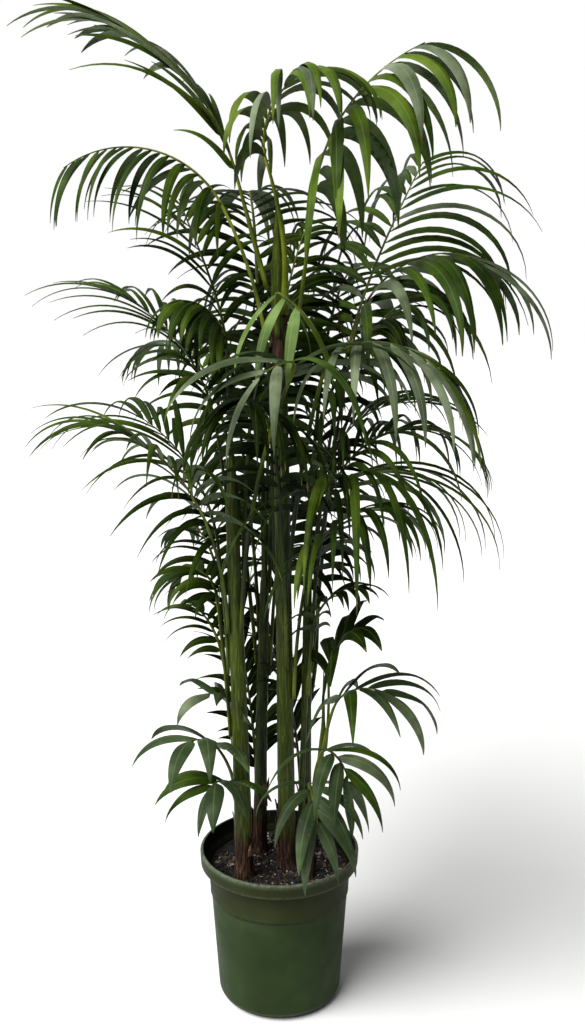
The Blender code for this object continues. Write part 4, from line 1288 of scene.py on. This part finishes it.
class StageSizes(bpy.types.PropertyGroup):
    """Camera, lights and floor."""

    distance: FloatProperty(name="Distance", description="Camera to the pot's axis", default=2.1, unit="LENGTH")
    eye_height: FloatProperty(name="Eye height", description="Camera above the floor", default=1.435, unit="LENGTH")
    pitch: FloatProperty(name="Pitch", description="Camera's tilt down", default=radians(13.0), subtype="ANGLE")
    yaw: FloatProperty(name="Yaw", description="Camera's turn to the right", default=radians(0.68), subtype="ANGLE")
    lens: FloatProperty(name="Lens", description="Focal length in millimetres", default=42.57)
    floor: FloatProperty(name="Floor", description="Half side of the floor", default=12.0, unit="LENGTH")
    key_strength: FloatProperty(name="Key strength", description="Main light in watts a square metre", default=5.2)
    key_softness: FloatProperty(
        name="Key softness", description="Angle the main light fills", default=radians(55.0), subtype="ANGLE"
    )
    rim_power: FloatProperty(name="Rim power", description="Light from behind in watts", default=10.0)
    surroundings: FloatProperty(name="Surroundings", description="Strength of the light from all round", default=0.13)


class PALM_OT_pot(bpy.types.Operator):
    """Make the moulded pot"""

    bl_idname = "palm.pot"
    bl_label = "Pot"

    def execute(self, context):
        make_pot(context.scene.palm_pot)
        return {"FINISHED"}


class PALM_OT_soil(bpy.types.Operator):
    """Make the compost and scatter bark over it"""

    bl_idname = "palm.soil"
    bl_label = "Compost and bark"

    def execute(self, context):
        make_soil(context.scene.palm_soil, context.scene.palm_pot)
        make_chips(context.scene.palm_soil, context.scene.palm_pot)
        return {"FINISHED"}


class PALM_OT_stems(bpy.types.Operator):
    """Make the sheathed stems"""

    bl_idname = "palm.stems"
    bl_label = "Stems"

    def execute(self, context):
        make_stems(context.scene.palm_stems)
        make_husks(context.scene.palm_stems)
        return {"FINISHED"}


class PALM_OT_ribs(bpy.types.Operator):
    """Make the petioles and ribs"""

    bl_idname = "palm.ribs"
    bl_label = "Petioles and ribs"

    def execute(self, context):
        make_ribs(context.scene.palm_leaves)
        return {"FINISHED"}


class PALM_OT_leaflets(bpy.types.Operator):
    """Grow the leaflets along every rib"""

    bl_idname = "palm.leaflets"
    bl_label = "Leaflets"

    def execute(self, context):
        make_leaflets(context.scene.palm_leaves)
        return {"FINISHED"}


class PALM_OT_stage(bpy.types.Operator):
    """Set up the floor, the lights and the camera"""

    bl_idname = "palm.stage"
    bl_label = "Studio"

    def execute(self, context):
        make_stage(context.scene.palm_stage)
        return {"FINISHED"}


STEPS = (PALM_OT_pot, PALM_OT_soil, PALM_OT_stems, PALM_OT_ribs, PALM_OT_leaflets, PALM_OT_stage)


class PALM_PT_panel(bpy.types.Panel):
    """The steps that dress the palm, in order"""

    bl_label = "Kentia palm"
    bl_space_type = "VIEW_3D"
    bl_region_type = "UI"
    bl_category = "Palm"

    def draw(self, context):
        for step in STEPS:
            self.layout.operator(step.bl_idname)


GROUPS = {
    "palm_pot": PotSizes,
    "palm_soil": SoilSizes,
    "palm_stems": StemSizes,
    "palm_leaves": LeafSizes,
    "palm_stage": StageSizes,
}
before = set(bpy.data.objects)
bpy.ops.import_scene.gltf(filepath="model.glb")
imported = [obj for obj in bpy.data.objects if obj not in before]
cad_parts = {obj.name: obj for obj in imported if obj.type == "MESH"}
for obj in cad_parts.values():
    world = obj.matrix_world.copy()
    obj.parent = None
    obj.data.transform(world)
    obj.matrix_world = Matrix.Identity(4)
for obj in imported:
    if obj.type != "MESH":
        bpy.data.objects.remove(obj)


def register():
    for name, group in GROUPS.items():
        bpy.utils.register_class(group)
        setattr(bpy.types.Scene, name, PointerProperty(type=group))
    for cls in (*STEPS, PALM_PT_panel):
        bpy.utils.register_class(cls)


def unregister():
    for cls in (PALM_PT_panel, *reversed(STEPS)):
        bpy.utils.unregister_class(cls)
    for name, group in reversed(GROUPS.items()):
        delattr(bpy.types.Scene, name)
        bpy.utils.unregister_class(group)


def main():
    """Dress the palm."""
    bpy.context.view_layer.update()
    register()
    bpy.ops.palm.pot()
    bpy.ops.palm.soil()
    bpy.ops.palm.stems()
    bpy.ops.palm.ribs()
    bpy.ops.palm.leaflets()
    bpy.ops.palm.stage()


if __name__ == "__main__":
    main()
